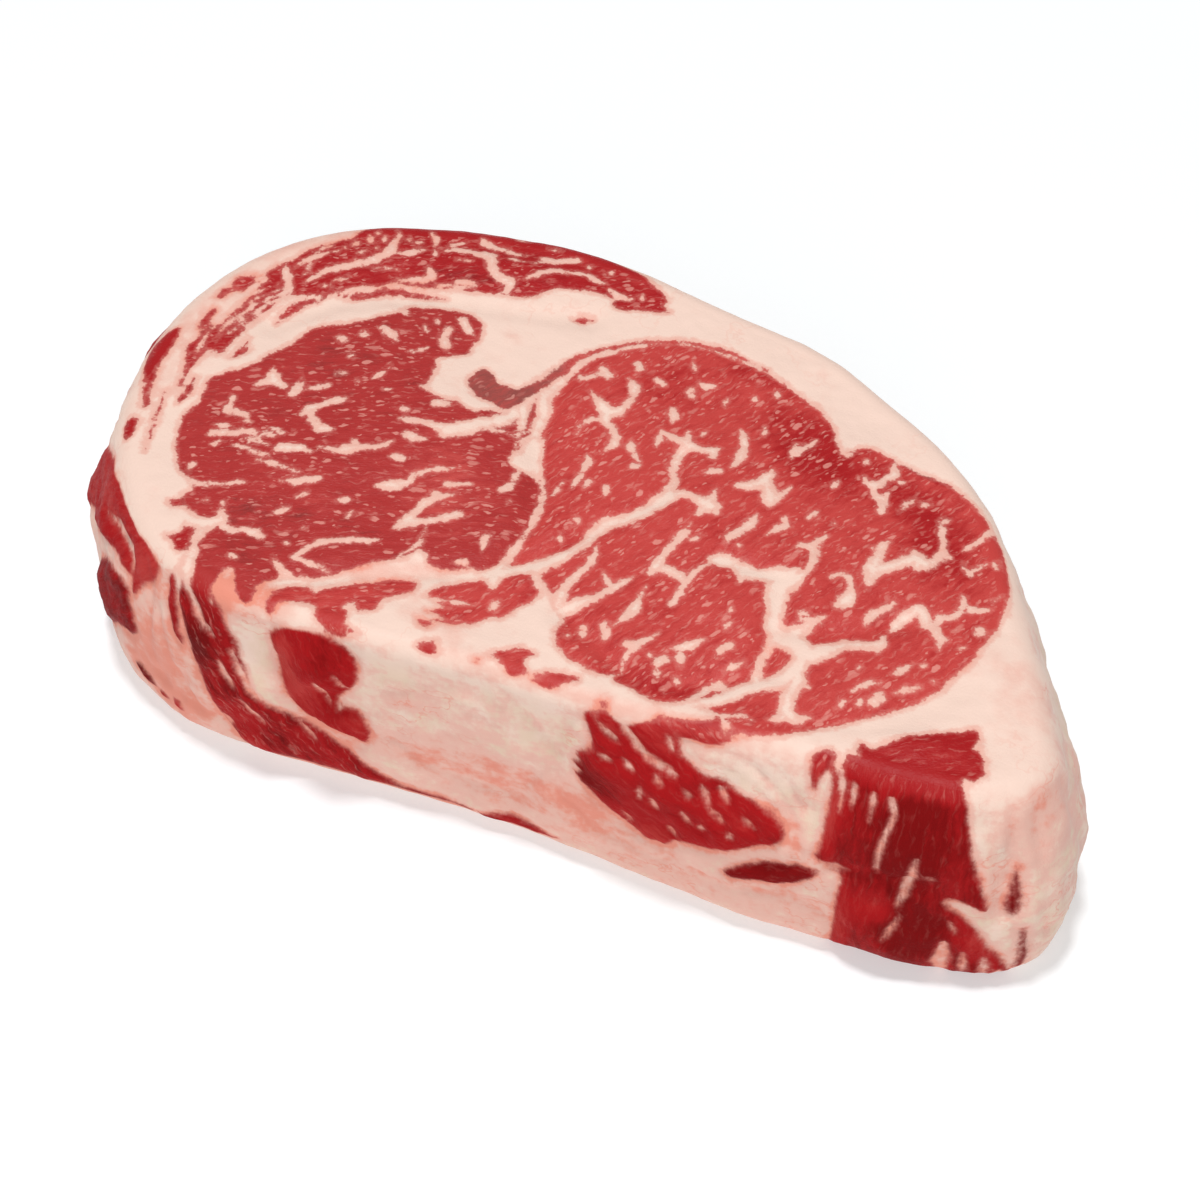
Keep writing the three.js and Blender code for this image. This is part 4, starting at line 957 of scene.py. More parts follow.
def mounds(x, y, patches):
    """The sum of smooth mounds, each with a middle, half sizes, a turn and a height."""
    total = np.zeros_like(x)
    for middle_x, middle_y, half_length, half_width, turn, height in patches:
        angle = math.radians(turn)
        along = (x - middle_x) * math.cos(angle) + (y - middle_y) * math.sin(angle)
        across = (y - middle_y) * math.cos(angle) - (x - middle_x) * math.sin(angle)
        reach = (along / half_length) ** 2 + (across / half_width) ** 2
        total += height * np.clip(1 - reach, 0, None) ** 2
    return total


def bare_rows(points):
    """The rows of a line without width."""
    points = np.array(points, float)
    return np.column_stack([points, np.zeros(len(points))])


def distance_to_runs(points, rows):
    """The shortest distance from each point to a line of runs, less its half width there."""
    nearest = np.full(len(points), np.inf)
    for start, end in zip(rows[:-1], rows[1:]):
        run = end[:2] - start[:2]
        offset = points - start[:2]
        t = np.clip(offset @ run / max(run @ run, TINY), 0, 1)
        apart = np.hypot(*(offset - t[:, None] * run).T)
        nearest = np.minimum(nearest, apart - start[2] - t * (end[2] - start[2]))
    return nearest


def near_box(points, rows):
    """Which points lie close enough to a shape for it to matter."""
    low = rows[:, :2].min(axis=0) - REACH
    high = rows[:, :2].max(axis=0) + REACH
    return np.flatnonzero(np.all((points > low) & (points < high), axis=1))


def inside_loop(points, loop):
    """Which points lie inside a closed loop."""
    inside = np.zeros(len(points), bool)
    for start, end in zip(loop, np.roll(loop, -1, axis=0)):
        spans = (start[1] > points[:, 1]) != (end[1] > points[:, 1])
        slope = (end[0] - start[0]) / (end[1] - start[1] or TINY)
        inside ^= spans & (points[:, 0] < start[0] + slope * (points[:, 1] - start[1]))
    return inside


def signed_distance(points, outline):
    """Distance to a closed smooth outline, above 0 inside it, kept within reach."""
    loop = smooth_loop(outline, OUTLINE_STEPS)
    rows = bare_rows(loop)
    signed = np.full(len(points), -float(REACH))
    near = near_box(points, rows)
    apart = distance_to_runs(points[near], closed(rows))
    signed[near] = np.where(inside_loop(points[near], loop), apart, -apart)
    return np.clip(signed, -REACH, REACH)


def line_rows(points, widen):
    """The rows of one drawn line: a dot is a very short line, and thin ends taper off."""
    rows = np.array(points, float)
    if len(rows) == 1:
        return np.vstack([rows, rows])
    if len(rows) == 2:
        rows = np.insert(rows, 1, rows.mean(axis=0), axis=0)
    rows[:, 2] *= widen
    ends = rows[[0, -1], 2]
    rows[[0, -1], 2] = np.where(ends < THIN_END, ends - TAPER, ends)
    return rows


def widen_with(signed, points, lines, sign, widen):
    """Adds lean lines (sign 1) or cuts fat lines (sign -1) in a field of signed distances."""
    for line in lines:
        rows = line_rows(line, widen)
        near = near_box(points, rows)
        outside = np.clip(distance_to_runs(points[near], rows), -REACH, REACH)
        if sign > 0:
            signed[near] = np.maximum(signed[near], -outside)
        else:
            signed[near] = np.minimum(signed[near], outside)
    return signed


class Layout:
    """What the meat is like at some points, as values that are stored on the mesh.

    signed is the distance to the line between lean and fat, above 0 in lean. tone, wet and
    rosy shade the two, and grain holds coordinates along and across the fibres. side is 1
    on the side, and seam is 1 where the grain of the top and of the side meet.
    """

    FIELDS = ("signed", "tone", "rosy", "wet", "side", "seam", "grain")

    def __init__(self, points, regions, shades, rosy, laid=None):
        count = len(points)
        laid = points if laid is None else laid
        self.signed = np.full(count, -float(REACH))
        self.wet = np.zeros(count)
        self.grain = np.zeros((count, 3))
        self.side = np.zeros(count)
        self.seam = np.zeros(count)
        tone_sum = np.full(count, USUAL_TONE * FAINT_WEIGHT)
        weight_sum = np.full(count, FAINT_WEIGHT)
        for tone, turn, wet, outline in regions:
            region = signed_distance(points, outline)
            weight = np.exp(region / TONE_BLEND)
            tone_sum += weight * tone
            weight_sum += weight
            closer = region > self.signed
            angle = math.radians(turn)
            along = laid @ (math.cos(angle), math.sin(angle))
            across = laid @ (-math.sin(angle), math.cos(angle))
            self.grain[closer, 0] = along[closer]
            self.grain[closer, 1] = across[closer]
            self.wet[closer] = wet
            self.signed = np.maximum(self.signed, region)
        x, y = points.T
        self.tone = np.clip(tone_sum / weight_sum + mounds(x, y, shades), 0, 1)
        self.rosy = mounds(x, y, rosy)

    def hand_over(self, other, share):
        """Takes on another layout by a share at each point."""
        for name in ("signed", "tone", "rosy", "wet"):
            mixed = getattr(self, name) * (1 - share) + getattr(other, name) * share
            setattr(self, name, mixed)


def slips():
    """Thin slips of the cap muscle, spread along the back of the side."""
    draw = np.random.default_rng(SLIP_SEED)
    first, last = SLIP_PLACES
    regions = []
    for i in range(SLIP_COUNT):
        middle = first + (last - first) * (i + draw.random()) / SLIP_COUNT
        height = draw.uniform(*SLIP_HEIGHTS)
        half_length = draw.uniform(*SLIP_HALF_LENGTHS)
        half_width = draw.uniform(*SLIP_HALF_WIDTHS)
        turn = math.radians(draw.uniform(*SLIP_TURNS))
        along = (math.cos(turn) * half_length, math.sin(turn) * half_length)
        across = (-math.sin(turn) * half_width, math.cos(turn) * half_width)
        outline = [
            (middle + along[0], height + along[1]),
            (middle + across[0], height + across[1]),
            (middle - along[0], height - along[1]),
            (middle - across[0], height - across[1]),
        ]
        regions.append((SLIP_TONE, math.degrees(turn), SLIP_WET, outline))
    return regions


def face_layout(points):
    """The layout of the upper cut face."""
    layout = Layout(points, FACE_LEAN, FACE_SHADES, FACE_ROSY)
    widen_with(layout.signed, points, LEAN_LINES, 1, VEIN_WIDTH)
    widen_with(layout.signed, points, FACE_VEINS, -1, VEIN_WIDTH)
    return layout


def lower_layout(points):
    """The lower face cuts the same muscles a little further on, so its lines differ."""
    x, y = points.T
    wave = 2 * math.pi / LOWER_WARP_LENGTH
    phase_x, phase_y = LOWER_PHASES
    warped = np.stack([
        x + LOWER_WARP * np.sin(wave * y + phase_x),
        y + LOWER_WARP * np.sin(wave * x + phase_y),
    ], axis=1)
    layout = Layout(warped, FACE_LEAN, FACE_SHADES, FACE_ROSY)
    widen_with(layout.signed, warped, LEAN_LINES, 1, VEIN_WIDTH)
    left = x < MIDDLE_SEAM
    for part, middle in ((left, BLADE_MIDDLE), (~left, EYE_MIDDLE)):
        turned = 2 * np.array(middle) - points[part]
        layout.signed[part] = widen_with(layout.signed[part], turned, FACE_VEINS, -1, VEIN_WIDTH)
    return layout


def creases(points):
    """How deep the folds of the side are at some points, in millimetres."""
    depth_there = np.zeros(len(points))
    for width, depth, line in SIDE_CREASES:
        rows = bare_rows(line)
        near = near_box(points, rows)
        apart = distance_to_runs(points[near], rows)
        depth_there[near] = np.maximum(depth_there[near], depth * np.exp(-((apart / width) ** 2)))
    return depth_there


def side_places(along, height, length):
    """Places on the side, with the distance along the edge kept near 0 at the left end."""
    return np.stack([(along + SIDE_START) % length - SIDE_START, height], axis=1)


def side_layout(places, length, reached):
    """The layout of the side; its grain runs on over the round edges at its true length."""
    laid = np.column_stack([places[:, 0], reached])
    layout = Layout(places, SIDE_LEAN + slips(), SIDE_SHADES, SIDE_ROSY, laid)
    widen_with(layout.signed, places, SIDE_VEINS, -1, SIDE_VEIN_WIDTH)
    end = smoothstep(places[:, 0], END_FROM, END_FROM + END_FADE)
    end *= 1 - smoothstep(places[:, 0], length - 2 * SIDE_START, length - SIDE_START)
    base = RIM_ROSY + (FOOT_ROSY - RIM_ROSY) * (1 - places[:, 1] / THICKNESS)
    layout.rosy += base * (1 + (END_SHARE - 1) * end) + creases(places) * CREASE_ROSY
    return layout


def top_relief(x, y):
    """Height of the top face over its flat level."""
    turn = 2 * math.pi
    height = WAVE_HEIGHT * np.sin(turn * x / WAVE_LENGTH_X) * np.cos(turn * y / WAVE_LENGTH_Y)
    height += mounds(x, y, CROWNS)
    points = np.stack([x, y], axis=1)
    for width, depth, line in SEAMS:
        apart = distance_to_runs(points, bare_rows(line))
        height -= depth * np.exp(-((apart / width) ** 2))
    return height


def side_relief(along, height, length):
    """How far the side stands out of its smooth shape."""
    turn = 2 * math.pi
    out = SIDE_WAVE_HEIGHT * np.sin(turn * SIDE_WAVE_COUNT * along / length)
    out = out * np.cos(turn * height / SIDE_WAVE_DEPTH)
    for middle, *rest in LUMPS:
        apart = along - middle - length * np.round((along - middle) / length)
        out += mounds(apart, height, [(0, *rest)])
    return out


def seed_shift(seed):
    """How far a seed moves its pattern away."""
    return tuple(seed * part for part in SEED_SHIFT)


def rough(points, size, seed):
    """Smooth random numbers between about -1 and 1, as large as the given size."""
    shift = Vector(seed_shift(seed))
    return np.array([noise.noise(Vector(p) / size + shift) for p in points])


def unevenness(layout, points, heights, seeds):
    """Coarse and fine unevenness, and ridges along the grain of the lean."""
    coarse, fine, ridge = heights
    coarse_seed, fine_seed, ridge_seed = seeds
    out = rough(points, COARSE_SIZE, coarse_seed) * coarse
    out += rough(points, FINE_SIZE, fine_seed) * fine
    stretched = layout.grain.copy()
    stretched[:, 0] *= GRAIN_STRETCH
    stretched[:, 2] = points[:, 2] * GRAIN_STRETCH
    ridges = rough(stretched, RIDGE_SIZE, ridge_seed) * smoothstep(layout.signed, *RIDGE_STEP)
    return out + ridges * ridge


def side_rows():
    """Rows down the side: the height, the round edges' inset and the height along the skin."""
    quarter = math.pi / 2
    rows = []
    for i in range(1, EDGE_ROWS + 1):
        angle = quarter * i / EDGE_ROWS
        rows.append((
            THICKNESS - TOP_EDGE_RADIUS * (1 - math.cos(angle)),
            TOP_EDGE_RADIUS * (1 - math.sin(angle)),
            THICKNESS - TOP_EDGE_RADIUS * (1 - quarter + angle),
        ))
    straight = THICKNESS - TOP_EDGE_RADIUS - FOOT_RADIUS
    for i in range(1, SIDE_ROWS + 1):
        level = THICKNESS - TOP_EDGE_RADIUS - straight * i / SIDE_ROWS
        rows.append((level, 0, level))
    for i in range(1, FOOT_ROWS + 1):
        angle = quarter * i / FOOT_ROWS
        rows.append((
            FOOT_RADIUS * (1 - math.sin(angle)),
            FOOT_RADIUS * (1 - math.cos(angle)),
            FOOT_RADIUS * (1 - angle),
        ))
    return np.array(rows)


def steps_round(i, j, ring):
    """Steps from a square ring's first corner to its point, counter-clockwise."""
    return np.select(
        [(i == ring) & (j < ring), (j == ring) & (i > -ring), (i == -ring) & (j > -ring)],
        [j + ring, 3 * ring - i, 5 * ring - j],
        7 * ring + i,
    )


def disc_grid(outline, rings, corner):
    """A square grid of points drawn into a closed outline, its faces and its border."""
    span = np.arange(-rings, rings + 1)
    i, j = (a.ravel() for a in np.meshgrid(span, span, indexing="ij"))
    ring = np.maximum(abs(i), abs(j))
    around = len(outline)
    step = np.where(ring == 0, 0, steps_round(i, j, ring) / np.maximum(ring, 1))
    at = corner + step * around / 8
    low = np.floor(at).astype(int) % around
    t = (at - np.floor(at))[:, None]
    spot = outline[low] * (1 - t) + outline[(low + 1) % around] * t
    points = spot * (ring / rings)[:, None]
    width = 2 * rings + 1
    square = np.arange(width * width).reshape(width, width)
    corners = [square[:-1, :-1], square[1:, :-1], square[1:, 1:], square[:-1, 1:]]
    faces = np.stack([c.ravel() for c in corners], axis=1)
    edge = np.flatnonzero(ring == rings)
    border = np.zeros(8 * rings, int)
    border[(corner * 8 * rings // around + steps_round(i, j, ring)[edge]) % (8 * rings)] = edge
    return points, faces, border


def top_surface(rim):
    """The upper cut face within its rim: points, faces, border and layout."""
    flat, faces, border = disc_grid(rim, RINGS, CORNER_POINT)
    rim_distance = distance_to_runs(flat, closed(bare_rows(rim)))
    fade = smoothstep(rim_distance, 0, FADE_WIDTH)
    points = np.column_stack([flat, THICKNESS + fade * top_relief(*flat.T)])
    layout = face_layout(flat)
    layout.seam[border] = 1
    groove = np.exp(-((layout.signed / GROOVE_WIDTH) ** 2)) * TOP_GROOVE
    fine = unevenness(layout, points, TOP_HEIGHTS, TOP_SEEDS)
    fine += TOP_LEAN_SINK * smoothstep(layout.signed, *TOP_STEP)
    points[:, 2] += (fine - groove) * smoothstep(rim_distance, 0, RIM_CALM)
    return points, faces, border, layout


def side_surface(edge, normal, length, bulge):
    """The side from the round upper edge to the foot: points, row by row, and layout."""
    rows = side_rows()
    height, inset, reached = np.repeat(rows, AROUND, axis=0).T
    along = np.tile(length * np.arange(AROUND) / AROUND, len(rows))
    x, y, belly_out, tuck_in = np.tile(edge, (len(rows), 1)).T
    outward = np.tile(normal, (len(rows), 1))

    down = 1 - height / THICKNESS
    belly = np.sin(math.pi / 2 * np.minimum(down / BELLY_FULL_AT, 1))
    tuck = np.clip(1 - height / TUCK_HEIGHT, 0, None) ** 2
    fade = smoothstep(THICKNESS - height, 0, FADE_WIDTH) * smoothstep(height, 0, FADE_WIDTH)
    out = belly_out * belly - tuck_in * tuck - inset
    out += fade * side_relief(along, height, length)
    flat = np.column_stack([x, y]) + out[:, None] * outward
    points = np.column_stack([flat, height])

    places = side_places(along, height, length)
    layout = side_layout(places, length, reached)
    layout.hand_over(face_layout(flat), smoothstep(height, *RIM_HANDOVER))
    layout.side = smoothstep(THICKNESS - height, *SIDE_FROM)
    layout.seam[:AROUND] = 1

    groove = np.exp(-(((layout.signed + GROOVE_OFFSET) / GROOVE_WIDTH) ** 2)) * SIDE_GROOVE
    fine = unevenness(layout, points, SIDE_HEIGHTS, SIDE_SEEDS)
    fine += bulge * smoothstep(layout.signed, *SIDE_STEP) - creases(places)
    calm = EDGE_CALM + (1 - EDGE_CALM) * fade
    points[:, :2] += ((fine - groove) * calm)[:, None] * outward
    return points, layout


def lower_surface(foot):
    """The lower face within the foot: points, faces, border and layout."""
    share = LOWER_RINGS / (LOWER_RINGS + 1)
    flat, faces, border = disc_grid(foot * share, LOWER_RINGS, CORNER_POINT // 2)
    spots = np.column_stack([flat, flat[:, 0]])
    hollows = rough(spots, LOWER_RELIEF_SIZE, LOWER_SEED)
    raised = LOWER_RELIEF * smoothstep(hollows, 0, LOWER_RELIEF_FULL)
    return np.column_stack([flat, raised]), faces[:, ::-1], border, lower_layout(flat)


def wall_faces(loops):
    """Faces between loops of points, each of which lies below the one before."""
    faces = []
    for upper, lower in zip(loops[:-1], loops[1:]):
        faces.append(np.stack([upper, lower, np.roll(lower, -1), np.roll(upper, -1)], axis=1))
    return faces


def joining_triangles(fine, coarse):
    """Triangles between a loop of points and another one with half as many."""
    triangles = []
    for i in range(len(coarse)):
        here = coarse[i]
        there = coarse[(i + 1) % len(coarse)]
        first, middle, last = (fine[(2 * i + k) % len(fine)] for k in range(3))
        triangles += [(here, middle, first), (here, there, middle), (there, last, middle)]
    return triangles


def steak_surface(bulge):
    """The steak's points and faces in millimetres, and the layouts of its three parts."""
    edge, length = even_loop(smooth_loop(EDGE, FINE_STEPS), AROUND)
    following = np.roll(edge[:, :2], -1, axis=0) - np.roll(edge[:, :2], 1, axis=0)
    normal = np.stack([following[:, 1], -following[:, 0]], axis=1)
    normal /= np.hypot(*normal.T)[:, None]

    top, top_faces, rim, upper = top_surface(edge[:, :2] - normal * TOP_EDGE_RADIUS)
    side, around = side_surface(edge, normal, length, bulge)
    low, low_faces, border, under = lower_surface(side[-AROUND::2, :2])

    low_start = len(top) + len(side)
    loops = [start + np.arange(AROUND) for start in range(len(top), low_start, AROUND)]
    quads = [top_faces, *wall_faces([rim, *loops]), low_start + low_faces]
    triangles = joining_triangles(loops[-1], low_start + border)
    return np.vstack([top, side, low]), quads, triangles, (upper, around, under)


def closed_mesh(points, quads, triangles):
    """One mesh of quads and triangles with smooth shading."""
    mesh = bpy.data.meshes.new("steak_meat")
    mesh.from_pydata(points.tolist(), [], np.vstack(quads).tolist() + triangles)
    mesh.polygons.foreach_set("use_smooth", [True] * len(mesh.polygons))
    mesh.update()
    return mesh


def fit_to_box(points, low, high):
    """The points in metres so that they fill the solid's box, and their middle before."""
    lowest = points.min(axis=0)
    size = points.max(axis=0) - lowest
    share = (points - lowest) / size
    fitted = np.array(low) + share * (np.array(high) - np.array(low))
    return fitted, lowest[:2] + size[:2] / 2


def store(mesh, name, values):
    """Keeps one value or vector for each point of a mesh."""
    kind, field = ("FLOAT_VECTOR", "vector") if values.ndim == 2 else ("FLOAT", "value")
    attribute = mesh.attributes.new(name, kind, "POINT")
    attribute.data.foreach_set(field, values.astype(np.float32).ravel())


class Wiring:
    """Adds the nodes of one material and joins them."""

    def __init__(self, name):
        self.material = bpy.data.materials.new(name)
        self.material.use_nodes = True
        self.tree = self.material.node_tree
        self.tree.nodes.clear()

    def add(self, kind, **settings):
        """A new node with its settings."""
        node = self.tree.nodes.new(kind)
        for name, value in settings.items():
            setattr(node, name, value)
        return node

    def feed(self, socket, value):
        """Joins a socket to another one, or sets it to a plain value."""
        if isinstance(value, bpy.types.NodeSocket):
            self.tree.links.new(value, socket)
        else:
            socket.default_value = value

    def field(self, name, output="Fac"):
        """One of the values that are stored on the mesh."""
        return self.add("ShaderNodeAttribute", attribute_name=name).outputs[output]

    def math(self, operation, first, second=0, third=0):
        """One step of arithmetic."""
        node = self.add("ShaderNodeMath", operation=operation)
        for socket, value in zip(node.inputs, (first, second, third)):
            self.feed(socket, value)
        return node.outputs[0]

    def vary(self, base, pattern, strength):
        """The base, moved up and down by a pattern."""
        return self.math("MULTIPLY_ADD", self.math("SUBTRACT", pattern, MIDDLE), strength, base)

    def ramp(self, value, from_low, from_high, to_low=0, to_high=1):
        """A smooth step from one value to another."""
        node = self.add("ShaderNodeMapRange", interpolation_type="SMOOTHSTEP")
        ends = (value, from_low, from_high, to_low, to_high)
        for name, end in zip(("Value", "From Min", "From Max", "To Min", "To Max"), ends):
            self.feed(node.inputs[name], end)
        return node.outputs[0]

    def mix(self, share, first, second):
        """A blend of two colours."""
        node = self.add("ShaderNodeMix", data_type="RGBA")
        for name, value in (("Factor_Float", share), ("A_Color", first), ("B_Color", second)):
            socket = next(s for s in node.inputs if s.identifier == name)
            self.feed(socket, value if isinstance(value, bpy.types.NodeSocket) else (*value, 1))
        return next(s for s in node.outputs if s.identifier == "Result_Color")

    def scaled(self, vector, sizes, seed=0):
        """A vector counted in the given sizes along its axes, moved away by the seed."""
        node = self.add("ShaderNodeVectorMath", operation="MULTIPLY_ADD")
        self.feed(node.inputs[0], vector)
        node.inputs[1].default_value = tuple(1 / size for size in sizes)
        node.inputs[2].default_value = seed_shift(seed)
        return node.outputs[0]

    def noise(self, vector, sizes, detail, seed, output="Fac"):
        """Smooth noise between 0 and 1, as large as the sizes along the vector's axes."""
        node = self.add("ShaderNodeTexNoise")
        self.feed(node.inputs["Vector"], self.scaled(vector, sizes, seed))
        node.inputs["Scale"].default_value = 1
        node.inputs["Detail"].default_value = detail
        return node.outputs[output]

    def pattern(self, name, vector, output="Fac"):
        """One of the named patterns."""
        return self.noise(vector, *PATTERNS[name], output)

    def specks(self, vector, sizes, reach, share, seed):
        """Short dashes in the given sizes: up to 1 on a dash, 0 off it."""
        dots = self.add("ShaderNodeTexVoronoi")
        self.feed(dots.inputs["Vector"], self.scaled(vector, sizes, seed))
        dots.inputs["Scale"].default_value = 1
        channels = self.add("ShaderNodeSeparateColor")
        self.feed(channels.inputs[0], dots.outputs["Color"])
        choice, size, power = channels.outputs[:3]
        present = self.ramp(self.math("SUBTRACT", share, choice), 0, FLECK_CHOICE)
        least = FLECK_LEAST_SIZE * reach
        wide = self.math("MULTIPLY_ADD", size, reach - least, least)
        near = self.math("SUBTRACT", wide, dots.outputs["Distance"])
        strength = self.math("MULTIPLY_ADD", power, 1 - FLECK_LEAST_STRENGTH, FLECK_LEAST_STRENGTH)
        present = self.math("MULTIPLY", present, strength)
        return self.math("MULTIPLY", self.ramp(near, *FLECK_SOFT), present)


def by_side(wiring, side, on_top, on_side):
    """One value on the cut faces and another on the side."""
    return wiring.ramp(side, 0, 1, on_top, on_side)


def bent_grain(wiring, grain):
    """The grain's own coordinates, bent so that nothing along it runs quite straight."""
    node = wiring.add("ShaderNodeVectorMath", operation="MULTIPLY_ADD")
    wiring.feed(node.inputs[0], wiring.pattern("bend", grain, "Color"))
    node.inputs[1].default_value = (BEND, BEND, BEND)
    wiring.feed(node.inputs[2], grain)
    return node.outputs[0]


def marbling(wiring, spot, grain, edge, side, wet, calm):
    """Where the flecks of fat lie in the lean."""
    crowd = wiring.ramp(wiring.pattern("crowding", spot), *CROWDED)
    crowd = wiring.math("ADD", crowd, CROWD_LEAST)
    crowd = wiring.math("MULTIPLY", crowd, wiring.ramp(side, 0, SIDE_CROWD_AT, 1, SIDE_CROWD))
    crowd = wiring.math("MULTIPLY", crowd, wiring.ramp(wet, *WET_CROWD_AT, 1, WET_CROWD))
    layers = []
    for sizes, reach, share, seed in MARBLING:
        share = wiring.math("MULTIPLY", crowd, share)
        layers.append(wiring.specks(grain, sizes, reach, share, seed))
    marbled = layers[0]
    for layer in layers[1:]:
        marbled = wiring.math("MAXIMUM", marbled, layer)
    marbled = wiring.math("MULTIPLY", marbled, wiring.ramp(edge, *FLECK_EDGE))
    return wiring.math("MULTIPLY", marbled, calm)


def lean_colour(wiring, look, spot, grain, edge, side):
    """The red of the lean with its haze and flecks, and the pattern of its fibres."""
    wet = wiring.field("wet")
    calm = wiring.math("SUBTRACT", 1, wiring.field("seam"))
    bundles = wiring.vary(MIDDLE, wiring.pattern("bundles", grain), calm)
    fibres = wiring.vary(MIDDLE, wiring.pattern("fibres", grain), calm)
    tone = wiring.vary(wiring.field("tone"), bundles, BUNDLE_STRENGTH)
    tone = wiring.vary(tone, fibres, FIBRE_STRENGTH)
    tone = wiring.vary(tone, wiring.pattern("clouds", spot), CLOUD_STRENGTH)
    red = wiring.mix(wiring.ramp(tone, 0, USUAL_TONE), look.dark_lean, look.lean)
    red = wiring.mix(wiring.ramp(tone, USUAL_TONE, 1), red, look.bright_lean)

    flecks = marbling(wiring, spot, grain, edge, side, wet, calm)
    haze = wiring.vary(MIDDLE, wiring.pattern("haze", grain), calm)
    haze = wiring.ramp(haze, *HAZY, 0, HAZE)
    damp = wiring.ramp(wet, *WET_HAZE_AT, SIDE_HAZE, WET_HAZE)
    haze = wiring.math("MULTIPLY", haze, by_side(wiring, side, 1, damp))
    rind = wiring.ramp(edge, *RIND_EDGE, 0, RIND_HAZE)
    dry = wiring.math("MULTIPLY", wet, -DRY_HAZE)
    pale = wiring.math("MULTIPLY", flecks, FLECK_STRENGTH)
    for other in (haze, rind, dry):
        pale = wiring.math("MAXIMUM", pale, other)
    red = wiring.mix(pale, red, look.flecks)
    return wiring.mix(wiring.math("MULTIPLY", wet, WET_SHARE), red, look.wet_lean), fibres


def fat_colour(wiring, look, spot, edge, side):
    """Cream fat, dried in places, stained pink and rosy with a little painted shade, with fine
    blood lines.
    """
    stain_and_shade = wiring.field("rosy")
    for name, on_top, on_side in STAIN_PATTERNS:
        strength = by_side(wiring, side, on_top, on_side)
        stain_and_shade = wiring.vary(stain_and_shade, wiring.pattern(name, spot), strength)
    stain_and_shade = wiring.math("ADD", stain_and_shade, wiring.ramp(edge, -EDGE_STAIN_REACH, 0, 0, EDGE_STAIN))

    height = wiring.add("ShaderNodeSeparateXYZ")
    wiring.feed(height.inputs[0], spot)
    below_top = wiring.ramp(height.outputs[2], THICKNESS, THICKNESS - AGED_DEPTH)
    aged = wiring.ramp(wiring.pattern("ageing", spot), *AGED, AGED_LEAST, 1)
    aged = wiring.math("MULTIPLY", aged, below_top)
    fat = wiring.mix(aged, look.cream_fat, look.tan_fat)
    fat = wiring.mix(wiring.ramp(stain_and_shade, 0, PINK_AT), fat, look.pink_fat)
    fat = wiring.mix(wiring.ramp(stain_and_shade, PINK_AT, ROSY_AT), fat, look.rosy_fat)

    winding = wiring.math("SUBTRACT", wiring.pattern("winding", spot), MIDDLE)
    line = wiring.ramp(wiring.math("ABSOLUTE", winding), LINE_WIDTH, 0)
    patch = wiring.ramp(wiring.pattern("bloodshot", spot), *BLOODSHOT)
    line = wiring.math("MULTIPLY", line, patch)
    line = wiring.math("MULTIPLY", line, by_side(wiring, side, LINE_ON_TOP, LINE_ON_SIDE))
    return wiring.mix(line, fat, look.rosy_fat)


def meat_material(look):
    """Marbled lean and fat, laid out by the values that are stored on the mesh."""
    wiring = Wiring("marbled_meat")
    place = wiring.add("ShaderNodeTexCoord").outputs["Object"]
    spot = wiring.scaled(place, (MILLIMETRE,) * 3)
    grain = bent_grain(wiring, wiring.field("grain", "Vector"))
    side = wiring.field("side")
    edge = wiring.field("signed")
    for size, seed, strength in EDGE_WANDER:
        reach = strength * look.edge_wander
        pattern = wiring.noise(spot, (size,) * 3, WANDER_DETAIL, seed)
        edge = wiring.vary(edge, pattern, by_side(wiring, side, reach, SIDE_WANDER * reach))
    softened = wiring.math("DIVIDE", edge, by_side(wiring, side, 1, SIDE_SOFTNESS))
    lean = wiring.ramp(softened, *EDGE_SOFT)
    red, fibres = lean_colour(wiring, look, spot, grain, edge, side)
    colour_there = wiring.mix(lean, fat_colour(wiring, look, spot, edge, side), red)

    relief = wiring.math("MULTIPLY", wiring.math("MULTIPLY", fibres, lean), FIBRE_BUMP)
    relief = wiring.math("MULTIPLY_ADD", wiring.pattern("pores", spot), PORE_BUMP, relief)
    relief = wiring.math("MULTIPLY_ADD", wiring.math("SUBTRACT", 1, lean), FAT_BUMP, relief)
    bump = wiring.add("ShaderNodeBump")
    bump.inputs["Strength"].default_value = BUMP_STRENGTH
    bump.inputs["Distance"].default_value = BUMP_DEPTH
    wiring.feed(bump.inputs["Height"], relief)

    shader = wiring.add("ShaderNodeBsdfPrincipled")
    sheen = wiring.vary(look.roughness, wiring.pattern("sheen", spot), SHEEN_CHANGE)
    shine = by_side(wiring, wiring.math("MULTIPLY", side, lean), TOP_SHINE, SIDE_SHINE)
    wiring.feed(shader.inputs["Base Color"], colour_there)
    wiring.feed(shader.inputs["Roughness"], sheen)
    wiring.feed(shader.inputs["Normal"], bump.outputs["Normal"])
    wiring.feed(shader.inputs["Specular IOR Level"], shine)
    output = wiring.add("ShaderNodeOutputMaterial")
    wiring.feed(output.inputs["Surface"], shader.outputs[0])
    return wiring.material


class STEAK_OT_meat(bpy.types.Operator):
    """Builds the steak itself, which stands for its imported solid"""

    bl_idname = "steak.meat"
    bl_label = "Build the steak"

    def execute(self, context):
        look = context.scene.steak_look
        points, quads, triangles, layouts = steak_surface(look.lean_bulge / MILLIMETRE)
        fitted, middle = fit_to_box(points, *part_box("steak"))
        mesh = closed_mesh(fitted, quads, triangles)
        for name in Layout.FIELDS:
            store(mesh, name, np.concatenate([getattr(layout, name) for layout in layouts]))
        mesh.materials.append(meat_material(look))
        steak = bpy.data.objects.new("steak_meat", mesh)
        context.scene.collection.objects.link(steak)
        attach(steak, "root")
        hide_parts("steak")
        context.scene.steak_studio.middle = tuple(middle)
        return {"FINISHED"}


